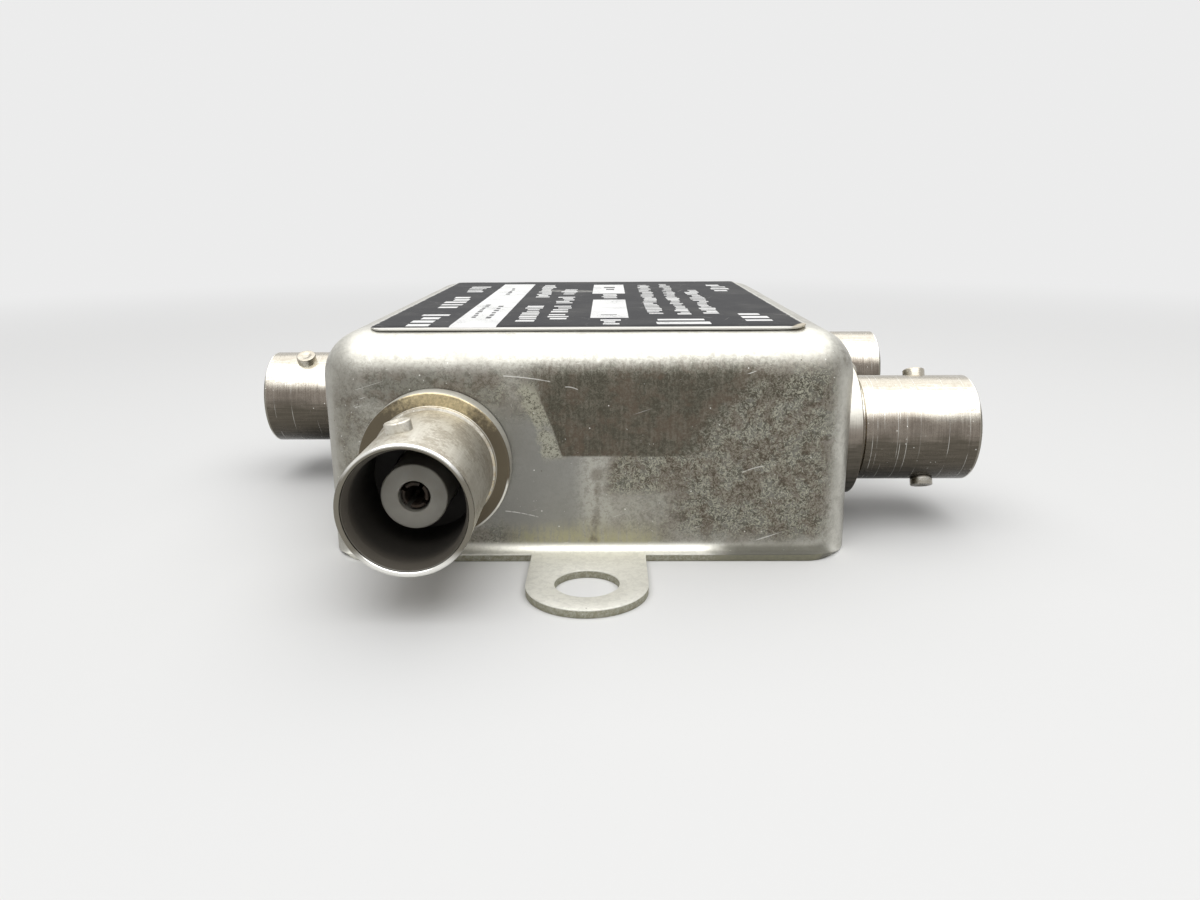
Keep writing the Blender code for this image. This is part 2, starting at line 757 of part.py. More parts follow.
def build_transformer(name, side, parts):
    """Build one hybrid transformer: its ferrite ring and its winding."""
    middle = ring_middle()
    high, low = middle + RING_HEIGHT / 2, middle - RING_HEIGHT / 2
    profile = [
        (RING_INNER + RING_ROUND, high), (RING_OUTER - RING_ROUND, high),
        (RING_OUTER, high - RING_ROUND), (RING_OUTER, low + RING_ROUND),
        (RING_OUTER - RING_ROUND, low), (RING_INNER + RING_ROUND, low),
        (RING_INNER, low + RING_ROUND), (RING_INNER, high - RING_ROUND),
    ]
    ring_x = row_places()[0]
    ring_y = side * between_discs_and(resistor_y() - RESISTOR_RADIUS)
    core_name, winding_name = name + "_core", name + "_winding"
    core = add_object(core_name, turned(core_name, profile, SMALL_STEPS), parts, "ferrite_grey")
    core.location = (ring_x, ring_y, 0.0)
    path = winding_path(ring_x, ring_y)
    add_object(winding_name, wire(winding_name, path, WINDING_WIRE), parts, "enamelled_copper")


def build_coil(name, side, parts):
    """Build one air-wound coil that stands on its own two ends."""
    steps = SMALL_STEPS * 2 // 3
    middle = board_top() + SEAT + COIL_RADIUS + 3 * COIL_WIRE
    coil_x = row_places()[1]
    start = side * between_discs_and(trimmer_y() - TRIMMER_RADIUS) - COIL_PITCH * COIL_TURNS / 2
    foot = board_top() + SEAT + COIL_WIRE / 2
    path = []
    for i in range(COIL_TURNS * steps + 1):
        angle = 2 * math.pi * i / steps
        path.append((
            coil_x + COIL_RADIUS * math.cos(angle),
            start + COIL_PITCH * i / steps,
            middle + COIL_RADIUS * math.sin(angle),
        ))
    first, last = path[0], path[-1]
    legs = [(first[0], first[1], foot), (last[0], last[1], foot)]
    add_object(name, wire(name, [legs[0], *path, legs[1]], COIL_WIRE), parts, "enamelled_copper")


def build_trimmer(name, side, parts, cutters):
    """Build one trimmer capacitor with a slotted rotor."""
    low = board_top() + SEAT
    high = low + TRIMMER_HEIGHT
    top = high + TRIMMER_ROTOR_HEIGHT
    profile = [
        (0.0, top), (TRIMMER_ROTOR_RADIUS, top), (TRIMMER_ROTOR_RADIUS, high),
        (TRIMMER_RADIUS, high), (TRIMMER_RADIUS, low), (0.0, low),
    ]
    trimmer = add_object(name, turned(name, profile, SMALL_STEPS, closed=False), parts, "trimmer_white")
    size = (TRIMMER_SLOT, 3 * TRIMMER_ROTOR_RADIUS, TRIMMER_ROTOR_HEIGHT)
    cutter = as_cutter(add_object(name + "_slot", box(name + "_slot", size, (0.0, 0.0, top)), cutters))
    combine(trimmer, cutter, "DIFFERENCE")
    for piece in (trimmer, cutter):
        piece.location = (row_places()[1], side * trimmer_y(), 0.0)


def build_disc_capacitor(number, parts, cutters):
    """Build one dipped disc capacitor of the middle row, standing on two wire legs."""
    name = f"disc_capacitor_{number}"
    spot = ((number - (DISC_COUNT + 1) / 2) * (2 * DISC_RADIUS + DISC_SPACING), 0.0)
    half = DISC_SHEET / 2
    profile = [
        (0.0, half), (DISC_RADIUS * 0.6, half), (DISC_RADIUS * 0.92, half * 0.6), (DISC_RADIUS, 0.0),
        (DISC_RADIUS * 0.92, -half * 0.6), (DISC_RADIUS * 0.6, -half), (0.0, -half),
    ]
    disc = add_object(name, turned(name, profile, SMALL_STEPS, closed=False), parts, "ceramic_tan")
    foot = board_top() + SEAT
    middle = Vector((*spot, foot + DISC_STAND + DISC_RADIUS))
    disc.matrix_world = Matrix.Translation(middle) @ Matrix.Rotation(math.radians(90.0), 4, "X")
    for side in (-1, 1):
        x = spot[0] + side * DISC_LEG_SPREAD
        path = [(x, spot[1], middle.z), (x, spot[1], foot)]
        leg_name = f"{name}_leg_{'right' if side > 0 else 'left'}"
        data = mesh_of_curve(wire(leg_name, path, DISC_LEG_RADIUS))
        leg = as_cutter(add_object(leg_name, data, cutters))
        combine(disc, leg, "UNION")


def build_resistor(name, side, parts, cutters):
    """Build one axial resistor with its two bent legs."""
    half = RESISTOR_LENGTH / 2
    neck = RESISTOR_RADIUS * 0.8
    bulge = RESISTOR_LENGTH * 0.22
    profile = [
        (0.0, half), (neck, half),
        (RESISTOR_RADIUS, half - bulge / 3), (RESISTOR_RADIUS, half - bulge),
        (neck, half - bulge * 1.4), (neck, -half + bulge * 1.4),
        (RESISTOR_RADIUS, -half + bulge), (RESISTOR_RADIUS, -half + bulge / 3),
        (neck, -half), (0.0, -half),
    ]
    foot = board_top() + SEAT
    middle = Vector((row_places()[0], side * resistor_y(), foot + SEAT + RESISTOR_RADIUS))
    body = add_object(name, turned(name, profile, SMALL_STEPS, closed=False), parts, "resistor_brown")
    body.matrix_world = Matrix.Translation(middle) @ Matrix.Rotation(math.radians(90.0), 4, "Y")
    for end in (-1, 1):
        x = middle.x + end * (half + RESISTOR_LEG_REACH)
        bend = RESISTOR_LEG * 1.5
        path = [
            (middle.x + end * half * 0.8, middle.y, middle.z),
            (x - end * bend, middle.y, middle.z),
            (x, middle.y, middle.z - bend),
            (x, middle.y, foot),
        ]
        leg_name = f"{name}_leg_{'right' if end > 0 else 'left'}"
        data = mesh_of_curve(wire(leg_name, path, RESISTOR_LEG))
        leg = as_cutter(add_object(leg_name, data, cutters))
        combine(body, leg, "UNION")


def main():
    """Build the whole coupler."""
    clear_scene()
    parts = make_collection("antenna_coupler")
    cutters = make_collection("cutters")
    build_case(parts, cutters)
    build_cover(parts)
    build_label(parts)
    for port, wall, place, turn in PORTS:
        build_jack(port, wall, place, turn, parts, cutters)
    build_board(parts)
    for number, spot in enumerate(post_spots(), 1):
        build_post(number, spot, parts, cutters)
    for place, side in (("front", -1), ("rear", 1)):
        build_transformer(place + "_transformer", side, parts)
        build_coil(place + "_coil", side, parts)
        build_trimmer(place + "_trimmer", side, parts, cutters)
        build_resistor(place + "_resistor", side, parts, cutters)
    for number in range(1, DISC_COUNT + 1):
        build_disc_capacitor(number, parts, cutters)


main()
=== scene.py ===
"""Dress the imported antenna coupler: fine meshes, print, finishes, light and camera.

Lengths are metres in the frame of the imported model: +Z up through the label, the front facing -Y.
Shader patterns are written in millimetres of that frame, and some on the jacks in each jack's own.
"""

import logging
import math
from dataclasses import dataclass
from enum import Enum
from functools import reduce
from typing import Mapping, Sequence, Union

import bmesh
import bpy
from mathutils import Matrix, Vector, noise


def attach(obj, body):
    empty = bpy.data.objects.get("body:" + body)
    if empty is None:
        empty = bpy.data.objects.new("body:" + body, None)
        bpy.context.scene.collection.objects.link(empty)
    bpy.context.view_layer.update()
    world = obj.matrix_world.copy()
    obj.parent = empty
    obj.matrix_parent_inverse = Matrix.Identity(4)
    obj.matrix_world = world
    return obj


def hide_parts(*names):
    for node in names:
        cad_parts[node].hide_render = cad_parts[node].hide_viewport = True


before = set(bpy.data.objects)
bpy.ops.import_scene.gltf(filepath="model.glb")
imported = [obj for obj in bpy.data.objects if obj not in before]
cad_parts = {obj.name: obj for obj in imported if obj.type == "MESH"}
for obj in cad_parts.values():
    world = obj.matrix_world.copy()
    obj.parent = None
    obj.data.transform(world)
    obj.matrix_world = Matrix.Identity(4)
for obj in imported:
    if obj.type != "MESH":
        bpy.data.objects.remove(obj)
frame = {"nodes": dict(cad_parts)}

BODY = "root"
MILLIMETRE = 0.001
TINY = 1e-6
WHITE = (1.0, 1.0, 1.0, 1.0)

Colour = tuple[float, float, float]
Operand = Union["Signal", float]
log = logging.getLogger("antenna_coupler")


class Signal:
    """A value in a node tree. Arithmetic on it adds Math nodes."""

    def __init__(self, tree: "Tree", socket: bpy.types.NodeSocket) -> None:
        """Keep the socket and the tree that it belongs to."""
        self.tree = tree
        self.socket = socket

    def __add__(self, other: Operand) -> "Signal":
        """Return self + other."""
        return self.tree.math("ADD", self, other)

    def __sub__(self, other: Operand) -> "Signal":
        """Return self - other."""
        return self.tree.math("SUBTRACT", self, other)

    def __rsub__(self, other: Operand) -> "Signal":
        """Return other - self."""
        return self.tree.math("SUBTRACT", other, self)

    def __mul__(self, other: Operand) -> "Signal":
        """Return self * other."""
        return self.tree.math("MULTIPLY", self, other)

    def __truediv__(self, other: Operand) -> "Signal":
        """Return self / other."""
        return self.tree.math("DIVIDE", self, other)

    def __pow__(self, power: float) -> "Signal":
        """Return self raised to a power."""
        return self.tree.math("POWER", self, power)

    def __abs__(self) -> "Signal":
        """Return the size of self without its sign."""
        return self.tree.math("ABSOLUTE", self)

    __radd__ = __add__
    __rmul__ = __mul__

    def at_least(self, other: Operand) -> "Signal":
        """Return the greater of self and other."""
        return self.tree.math("MAXIMUM", self, other)

    def at_most(self, other: Operand) -> "Signal":
        """Return the lesser of self and other."""
        return self.tree.math("MINIMUM", self, other)

    def ramp(self, zero_at: float, one_at: float) -> "Signal":
        """Return a smooth step of self.

        Args:
            zero_at: value of self at which the step is 0.
            one_at: value of self at which the step is 1; it may be the lesser one.

        Returns:
            The step, held to 0 and 1 outside that range.
        """
        low, high = min(zero_at, one_at), max(zero_at, one_at)
        step = self.tree.node(
            "ShaderNodeMapRange",
            {"interpolation_type": "SMOOTHSTEP"},
            {"Value": self, "From Min": low, "From Max": high},
        )
        rising = Signal(self.tree, step.outputs["Result"])
        return rising if one_at > zero_at else 1.0 - rising

    def between(self, low: float, high: float, soft: float) -> "Signal":
        """Return 1 where self lies between two values, fading over a soft edge outside them."""
        return self.ramp(low - soft, low) * self.ramp(high + soft, high)


class Tree:
    """A node tree that is written as Python expressions."""

    def __init__(self, nodes: bpy.types.NodeTree) -> None:
        """Keep the node tree that the expressions go into."""
        self.nodes = nodes

    def node(
        self,
        kind: str,
        settings: Mapping[str, object] | None = None,
        inputs: Mapping[str | int, object] | None = None,
    ) -> bpy.types.Node:
        """Add one node.

        Args:
            kind: Blender's name of the node type.
            settings: the node's own properties, set before its sockets.
            inputs: values or links of its sockets, by name or number.

        Returns:
            The new node.
        """
        made = self.nodes.nodes.new(kind)
        for name, value in (settings or {}).items():
            setattr(made, name, value)
        for key, value in (inputs or {}).items():
            self.feed(made.inputs[key], value)
        return made

    def feed(self, socket: bpy.types.NodeSocket, value: object) -> None:
        """Link a signal or a socket to an input, or set the input to a plain value.

        Args:
            socket: the input.
            value: what goes into it.
        """
        source = value.socket if isinstance(value, Signal) else value
        if isinstance(source, bpy.types.NodeSocket):
            self.nodes.links.new(source, socket)
        else:
            socket.default_value = source

    def math(self, operation: str, *values: Operand) -> Signal:
        """Add a Math node and return its result."""
        made = self.node("ShaderNodeMath", {"operation": operation}, dict(enumerate(values)))
        return Signal(self, made.outputs[0])

    def axes(self, vector: object) -> tuple[Signal, Signal, Signal]:
        """Return the three components of a vector."""
        parts = self.node("ShaderNodeSeparateXYZ", inputs={0: vector})
        return tuple(Signal(self, socket) for socket in parts.outputs)

    def vector(self, x: Operand, y: Operand, z: Operand) -> Signal:
        """Return a vector of three components."""
        joined = self.node("ShaderNodeCombineXYZ", inputs={0: x, 1: y, 2: z})
        return Signal(self, joined.outputs[0])

    def cloud(
        self, place: object, scale: float, detail: float = 2.0, rough: float = 0.5, twist: float = 0.0
    ) -> Signal:
        """Return fractal noise.

        Args:
            place: vector that the noise is read at.
            scale: features per unit of that vector.
            detail: number of finer layers.
            rough: weight of the finer layers.
            twist: how far the noise distorts itself.

        Returns:
            The noise, about 0.5 on average.
        """
        inputs = {"Vector": place, "Scale": scale, "Detail": detail, "Roughness": rough}
        made = self.node("ShaderNodeTexNoise", inputs={**inputs, "Distortion": twist})
        return Signal(self, made.outputs[0])


class Shader(Tree):
    """A material's tree, with the patterns that worn metal and print are painted from."""

    def __init__(self, name: str) -> None:
        """Start a material that holds a Principled shader and its output.

        Args:
            name: name of the material.
        """
        self.material = bpy.data.materials.new(name)
        self.material.use_nodes = True
        super().__init__(self.material.node_tree)
        self.nodes.nodes.clear()
        self.surface = self.node("ShaderNodeBsdfPrincipled")
        self.node("ShaderNodeOutputMaterial", inputs={"Surface": self.surface.outputs[0]})

    def place(self) -> Signal:
        """Return the object coordinates in millimetres."""
        return self.scaled(self.node("ShaderNodeTexCoord").outputs["Object"], (1 / MILLIMETRE,) * 3)

    def attribute(self, name: str) -> Signal:
        """Return a vector attribute of the mesh in millimetres."""
        read = self.node("ShaderNodeAttribute", {"attribute_name": name})
        return self.scaled(read.outputs["Vector"], (1 / MILLIMETRE,) * 3)

    def scaled(self, vector: object, factors: Sequence[float]) -> Signal:
        """Multiply the components of a vector one by one.

        Args:
            vector: vector or link.
            factors: factor of each component.

        Returns:
            The scaled vector.
        """
        made = self.node(
            "ShaderNodeVectorMath", {"operation": "MULTIPLY"}, {0: vector, 1: tuple(factors)}
        )
        return Signal(self, made.outputs[0])

    def turned(self, vector: object, degrees: Sequence[float], factors: Sequence[float]) -> Signal:
        """Turn a vector by Euler angles and then stretch it.

        Args:
            vector: vector or link.
            degrees: the three angles.
            factors: factor of each component after the turn.

        Returns:
            The turned and stretched vector.
        """
        angles = tuple(math.radians(angle) for angle in degrees)
        turn = self.node("ShaderNodeMapping", inputs={"Vector": vector, "Rotation": angles})
        return self.scaled(turn.outputs[0], factors)

    def cells(self, place: object, scale: float) -> tuple[Signal, Signal]:
        """Return the distance to scattered points and a random value of the nearest point."""
        made = self.node("ShaderNodeTexVoronoi", inputs={"Vector": place, "Scale": scale})
        return Signal(self, made.outputs["Distance"]), self.axes(made.outputs["Color"])[0]

    def specks(self, place: object, spacing: float, radius: float, share: float) -> Signal:
        """Return scattered round specks.

        Args:
            place: vector in millimetres.
            spacing: mean distance between possible specks.
            radius: radius of one speck.
            share: share of the possible specks that are there.

        Returns:
            A mask of 1 in the specks.
        """
        distance, chance = self.cells(place, 1.0 / spacing)
        near = distance.ramp(1.4 * radius / spacing, 0.6 * radius / spacing)
        return near * chance.ramp(share, share - 0.02)

    def scratches(
        self, place: object, degrees: Sequence[float], fineness: float, share: float
    ) -> Signal:
        """Return long thin marks that run along the turned X axis.

        Args:
            place: vector in millimetres.
            degrees: Euler angles that turn the marks.
            fineness: marks per millimetre across their length.
            share: how much of the surface they take, from 0 to 1.

        Returns:
            A mask of 1 in the marks.
        """
        long_way = self.turned(place, degrees, (0.12, fineness, fineness))
        broken = self.cloud(self.turned(place, degrees, (0.5, 0.9, 0.9)), 0.9, 1.0)
        lines = self.cloud(long_way, 1.0, 2.0, 0.6)
        limit = 0.72 - 0.16 * share
        return lines.ramp(limit, limit + 0.05) * broken.ramp(0.46, 0.6)

    def mix(self, mask: Operand, below: object, above: object) -> Signal:
        """Return a blend of two colours.

        Args:
            mask: 0 gives the lower colour and 1 the upper one.
            below: colour or link.
            above: colour or link.

        Returns:
            The blended colour.
        """
        inputs = {0: mask, 6: rgba(below), 7: rgba(above)}
        made = self.node("ShaderNodeMix", {"data_type": "RGBA", "clamp_factor": True}, inputs)
        return Signal(self, made.outputs[2])

    def bump(self, height: Signal) -> None:
        """Bend the surface's normal by a height in millimetres."""
        inputs = {"Strength": 1.0, "Distance": MILLIMETRE, "Height": height}
        self.feed(self.surface.inputs["Normal"], self.node("ShaderNodeBump", inputs=inputs).outputs[0])

    def dress(
        self,
        colour: object,
        roughness: Operand,
        metallic: Operand = 0.0,
        height: Signal | None = None,
        fixed: Mapping[str, object] | None = None,
    ) -> bpy.types.Material:
        """Feed the Principled shader.

        Args:
            colour: base colour or link.
            roughness: roughness or link.
            metallic: metallic value or link.
            height: bump height in millimetres.
            fixed: other sockets that are the same all over.

        Returns:
            The finished material.
        """
        inputs = {"Base Color": rgba(colour), "Roughness": roughness, "Metallic": metallic}
        for name, value in {**inputs, **(fixed or {})}.items():
            self.feed(self.surface.inputs[name], value)
        if height is not None:
            self.bump(height)
        return self.material


def rgba(colour: object) -> object:
    """Return a plain colour with its alpha, and anything else as it is."""
    return (*colour, 1.0) if isinstance(colour, tuple) else colour


class Form(Tree):
    """A Geometry Nodes tree with named inputs, which grows plain meshes."""

    SOCKETS = {
        float: "NodeSocketFloat",
        int: "NodeSocketInt",
        bpy.types.Object: "NodeSocketObject",
        bpy.types.Material: "NodeSocketMaterial",
    }

    def __init__(self, name: str, inputs: Mapping[str, type]) -> None:
        """Start a tree.

        Args:
            name: name of the node group.
            inputs: type of each named input besides the geometry.
        """
        group = bpy.data.node_groups.new(name, "GeometryNodeTree")
        super().__init__(group)
        self.group = group
        geometry = "NodeSocketGeometry"
        group.interface.new_socket("Geometry", in_out="INPUT", socket_type=geometry)
        for label, kind in inputs.items():
            group.interface.new_socket(label, in_out="INPUT", socket_type=self.SOCKETS[kind])
        group.interface.new_socket("Geometry", in_out="OUTPUT", socket_type=geometry)
        self.entry = self.node("NodeGroupInput")

    def value(self, label: str) -> Signal:
        """Return a named input."""
        return Signal(self, self.entry.outputs[label])

    def here(self) -> tuple[Signal, Signal, Signal]:
        """Return the place of each point."""
        return self.axes(self.node("GeometryNodeInputPosition").outputs[0])

    def moved(self, geometry: object, place: Signal) -> bpy.types.NodeSocket:
        """Return the geometry with its points at a new place."""
        inputs = {"Geometry": geometry, "Position": place}
        return self.node("GeometryNodeSetPosition", inputs=inputs).outputs[0]

    def end(self, geometry: object) -> None:
        """Make instances real, set the material input and close the tree.

        Args:
            geometry: what the tree has made.
        """
        real = self.node("GeometryNodeRealizeInstances", inputs={0: geometry})
        inputs = {"Geometry": real.outputs[0], "Material": self.value("Material")}
        coated = self.node("GeometryNodeSetMaterial", inputs=inputs)
        self.node("NodeGroupOutput", inputs={0: coated.outputs[0]})

    def grow(
        self, name: str, values: Mapping[str, object], base: bpy.types.Mesh | None = None
    ) -> bpy.types.Mesh:
        """Evaluate the tree.

        Args:
            name: name of the new mesh.
            values: a value for each named input.
            base: mesh that enters the tree as its geometry.

        Returns:
            A plain mesh.
        """
        holder = bpy.data.objects.new(name, base or bpy.data.meshes.new(name))
        bpy.context.scene.collection.objects.link(holder)
        modifier = holder.modifiers.new("form", "NODES")
        modifier.node_group = self.group
        for item in self.group.interface.items_tree:
            if item.name in values:
                modifier[item.identifier] = values[item.name]
        mesh = evaluated_mesh(holder)
        holder.modifiers.remove(modifier)
        bpy.data.objects.remove(holder)
        mesh.name = name
        return mesh


def evaluated_mesh(piece: bpy.types.Object) -> bpy.types.Mesh:
    """Apply an object's modifiers to a copy of its mesh.

    Args:
        piece: the object.

    Returns:
        The new mesh.
    """
    bpy.context.view_layer.update()
    graph = bpy.context.evaluated_depsgraph_get()
    return bpy.data.meshes.new_from_object(piece.evaluated_get(graph))


def coat(mesh: bpy.types.Mesh, material: bpy.types.Material) -> None:
    """Give a mesh one material."""
    mesh.materials.clear()
    mesh.materials.append(material)


def linked(
    name: str, mesh: bpy.types.Mesh, material: bpy.types.Material | None = None
) -> bpy.types.Object:
    """Add an object to the scene.

    Args:
        name: name of the object.
        mesh: mesh that it shows.
        material: its finish, where it has one already.

    Returns:
        The new object.
    """
    piece = bpy.data.objects.new(name, mesh)
    bpy.context.scene.collection.objects.link(piece)
    if material is not None:
        coat(mesh, material)
    return piece


def bake(piece: bpy.types.Object) -> None:
    """Apply every modifier of an object and let its mesh take the result.

    Args:
        piece: the object.
    """
    mesh = evaluated_mesh(piece)
    piece.modifiers.clear()
    piece.data = mesh


def cut(piece: bpy.types.Object, tool: bpy.types.Object, operation: str = "DIFFERENCE") -> None:
    """Apply a Boolean with a tool object and remove the tool.

    Args:
        piece: the object that is cut.
        tool: the object that cuts it.
        operation: Blender's name of the Boolean.
    """
    modifier = piece.modifiers.new("cut", "BOOLEAN")
    modifier.object = tool
    modifier.operation = operation
    bake(piece)
    bpy.data.objects.remove(tool)


def shade(mesh: bpy.types.Mesh, degrees: float = 40.0) -> None:
    """Shade a mesh smooth, apart from edges sharper than an angle."""
    mesh.shade_smooth()
    mesh.set_sharp_from_angle(angle=math.radians(degrees))


def settle(piece: bpy.types.Object, nodes: Sequence[str]) -> None:
    """Place a finished piece in the frame.

    Args:
        piece: the finished object.
        nodes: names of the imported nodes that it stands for.
    """
    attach(piece, BODY)
    if nodes:
        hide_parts(*nodes)
    log.info("%s: %d faces in place of %s", piece.name, len(piece.data.polygons), ", ".join(nodes))


@dataclass(frozen=True)
class Corner:
    """One corner of a turned section: its radius and height, and the fillet that rounds it."""

    radius: float
    height: float
    fillet: float = 0.0


def section(corners: Sequence[Corner], steps: int = 4) -> list[Vector]:
    """Round the corners of a closed section.

    Args:
        corners: the section's corners in order.
        steps: straight pieces in each fillet.

    Returns:
        Points of radius and height.
    """
    places = [Vector((corner.radius, corner.height)) for corner in corners]
    points = []
    for index, corner in enumerate(corners):
        here = places[index]
        if not corner.fillet:
            points.append(here)
            continue
        back = (places[index - 1] - here).normalized()
        ahead = (places[(index + 1) % len(places)] - here).normalized()
        half = back.angle(ahead) / 2
        centre = here + (back + ahead).normalized() * corner.fillet / math.sin(half)
        first = here + back * corner.fillet / math.tan(half) - centre
        last = here + ahead * corner.fillet / math.tan(half) - centre
        for step in range(steps + 1):
            points.append(centre + first.lerp(last, step / steps).normalized() * corner.fillet)
    return points


def mesh_of(work: bmesh.types.BMesh, name: str) -> bpy.types.Mesh:
    """Turn worked geometry into a new mesh.

    Args:
        work: the geometry, which is freed.
        name: name of the mesh.

    Returns:
        The new mesh.
    """
    mesh = bpy.data.meshes.new(name)
    work.to_mesh(mesh)
    work.free()
    return mesh


def turned_mesh(
    name: str, points: Sequence[Vector], segments: int, closed: bool = True
) -> bpy.types.Mesh:
    """Turn a section about the Z axis.

    Args:
        name: name of the mesh.
        points: radius and height of each point of the section.
        segments: number of steps round the axis.
        closed: whether the last point joins the first one.

    Returns:
        A closed mesh with its faces pointing out.
    """
    work = bmesh.new()
    ring = [work.verts.new((point.x, 0.0, point.y)) for point in points]
    pairs = list(zip(ring, ring[1:] + ring[:1] if closed else ring[1:]))
    edges = [work.edges.new(pair) for pair in pairs]
    bmesh.ops.spin(
        work, geom=ring + edges, cent=(0, 0, 0), axis=(0, 0, 1), angle=math.tau,
        steps=segments, use_merge=True,
    )
    bmesh.ops.remove_doubles(work, verts=work.verts[:], dist=TINY)
    bmesh.ops.recalc_face_normals(work, faces=work.faces[:])
    return mesh_of(work, name)


class CanSurface(Shader):
    """The can's surface: its points in millimetres, and noises that make stains ragged."""

    def __init__(self, name: str) -> None:
        """Start the material and read the place and every noise.

        Args:
            name: name of the material.
        """
        super().__init__(name)
        self.where = self.place()
        self.x, self.y, self.z = self.axes(self.where)
        self.broad = self.cloud(self.where, 0.16, 4.0, 0.6)
        self.patches = self.cloud(self.where, 0.5, 4.0, 0.65, 0.3)
        self.fine = self.cloud(self.where, 2.2, 6.0, 0.7, 0.5)
        self.grit = self.cloud(self.where, 5.5, 5.0, 0.75, 0.9)
        self.dust = self.cloud(self.where, 14.0, 3.0, 0.6)
        self.drawn = self.cloud(self.scaled(self.where, (3.4, 3.4, 0.35)), 1.0, 5.0, 0.7)
        self.handled = self.cloud(self.where, 0.35, 5.0, 0.7, 0.4)
        curled = self.cloud(self.where, 2.2, 2.0, 0.5, 1.6)
        self.curls = abs(curled - 0.5).ramp(0.075, 0.03) * self.grit.ramp(0.38, 0.52)
        self.wander = (self.broad - 0.5) * 7.0 + (self.patches - 0.5) * 3.0
        self.waver = (self.fine - 0.5) * 0.5
        self.texture = self.fine * 0.5 + self.grit * 0.5


@dataclass(frozen=True)
class WallPatch:
    """A soft-edged rectangle on the front wall, in millimetres."""

    left: float
    right: float
    foot: float
    top: float
    soft_side: float
    soft_end: float

    def mask(self, x: Signal, z: Signal) -> Signal:
        """Return 1 inside the patch, fading outside it.

        Args:
            x: place across the wall.
            z: height.

        Returns:
            The mask.
        """
        across = x.between(self.left, self.right, self.soft_side)
        return across * z.between(self.foot, self.top, self.soft_end)


@dataclass(frozen=True)
class Scratch:
    """A long scratch on the front wall: its two ends, its height at the left one and its rise."""

    left: float
    right: float
    height: float
    rise: float


@dataclass(frozen=True)
class CanMasks:
    """Where each stain, each kind of wear, and the lip's painted highlight and shade lie on the can,
    from 0 to 1.
    """

    front: Signal
    solid: Signal
    field: Signal
    curls: Signal
    strip: Signal
    smooth: Signal
    stain: Signal
    flat: Signal
    lip: Signal
    lip_highlight: Signal
    cut: Signal
    scratch: Signal
    dots: Signal
    pits: Signal


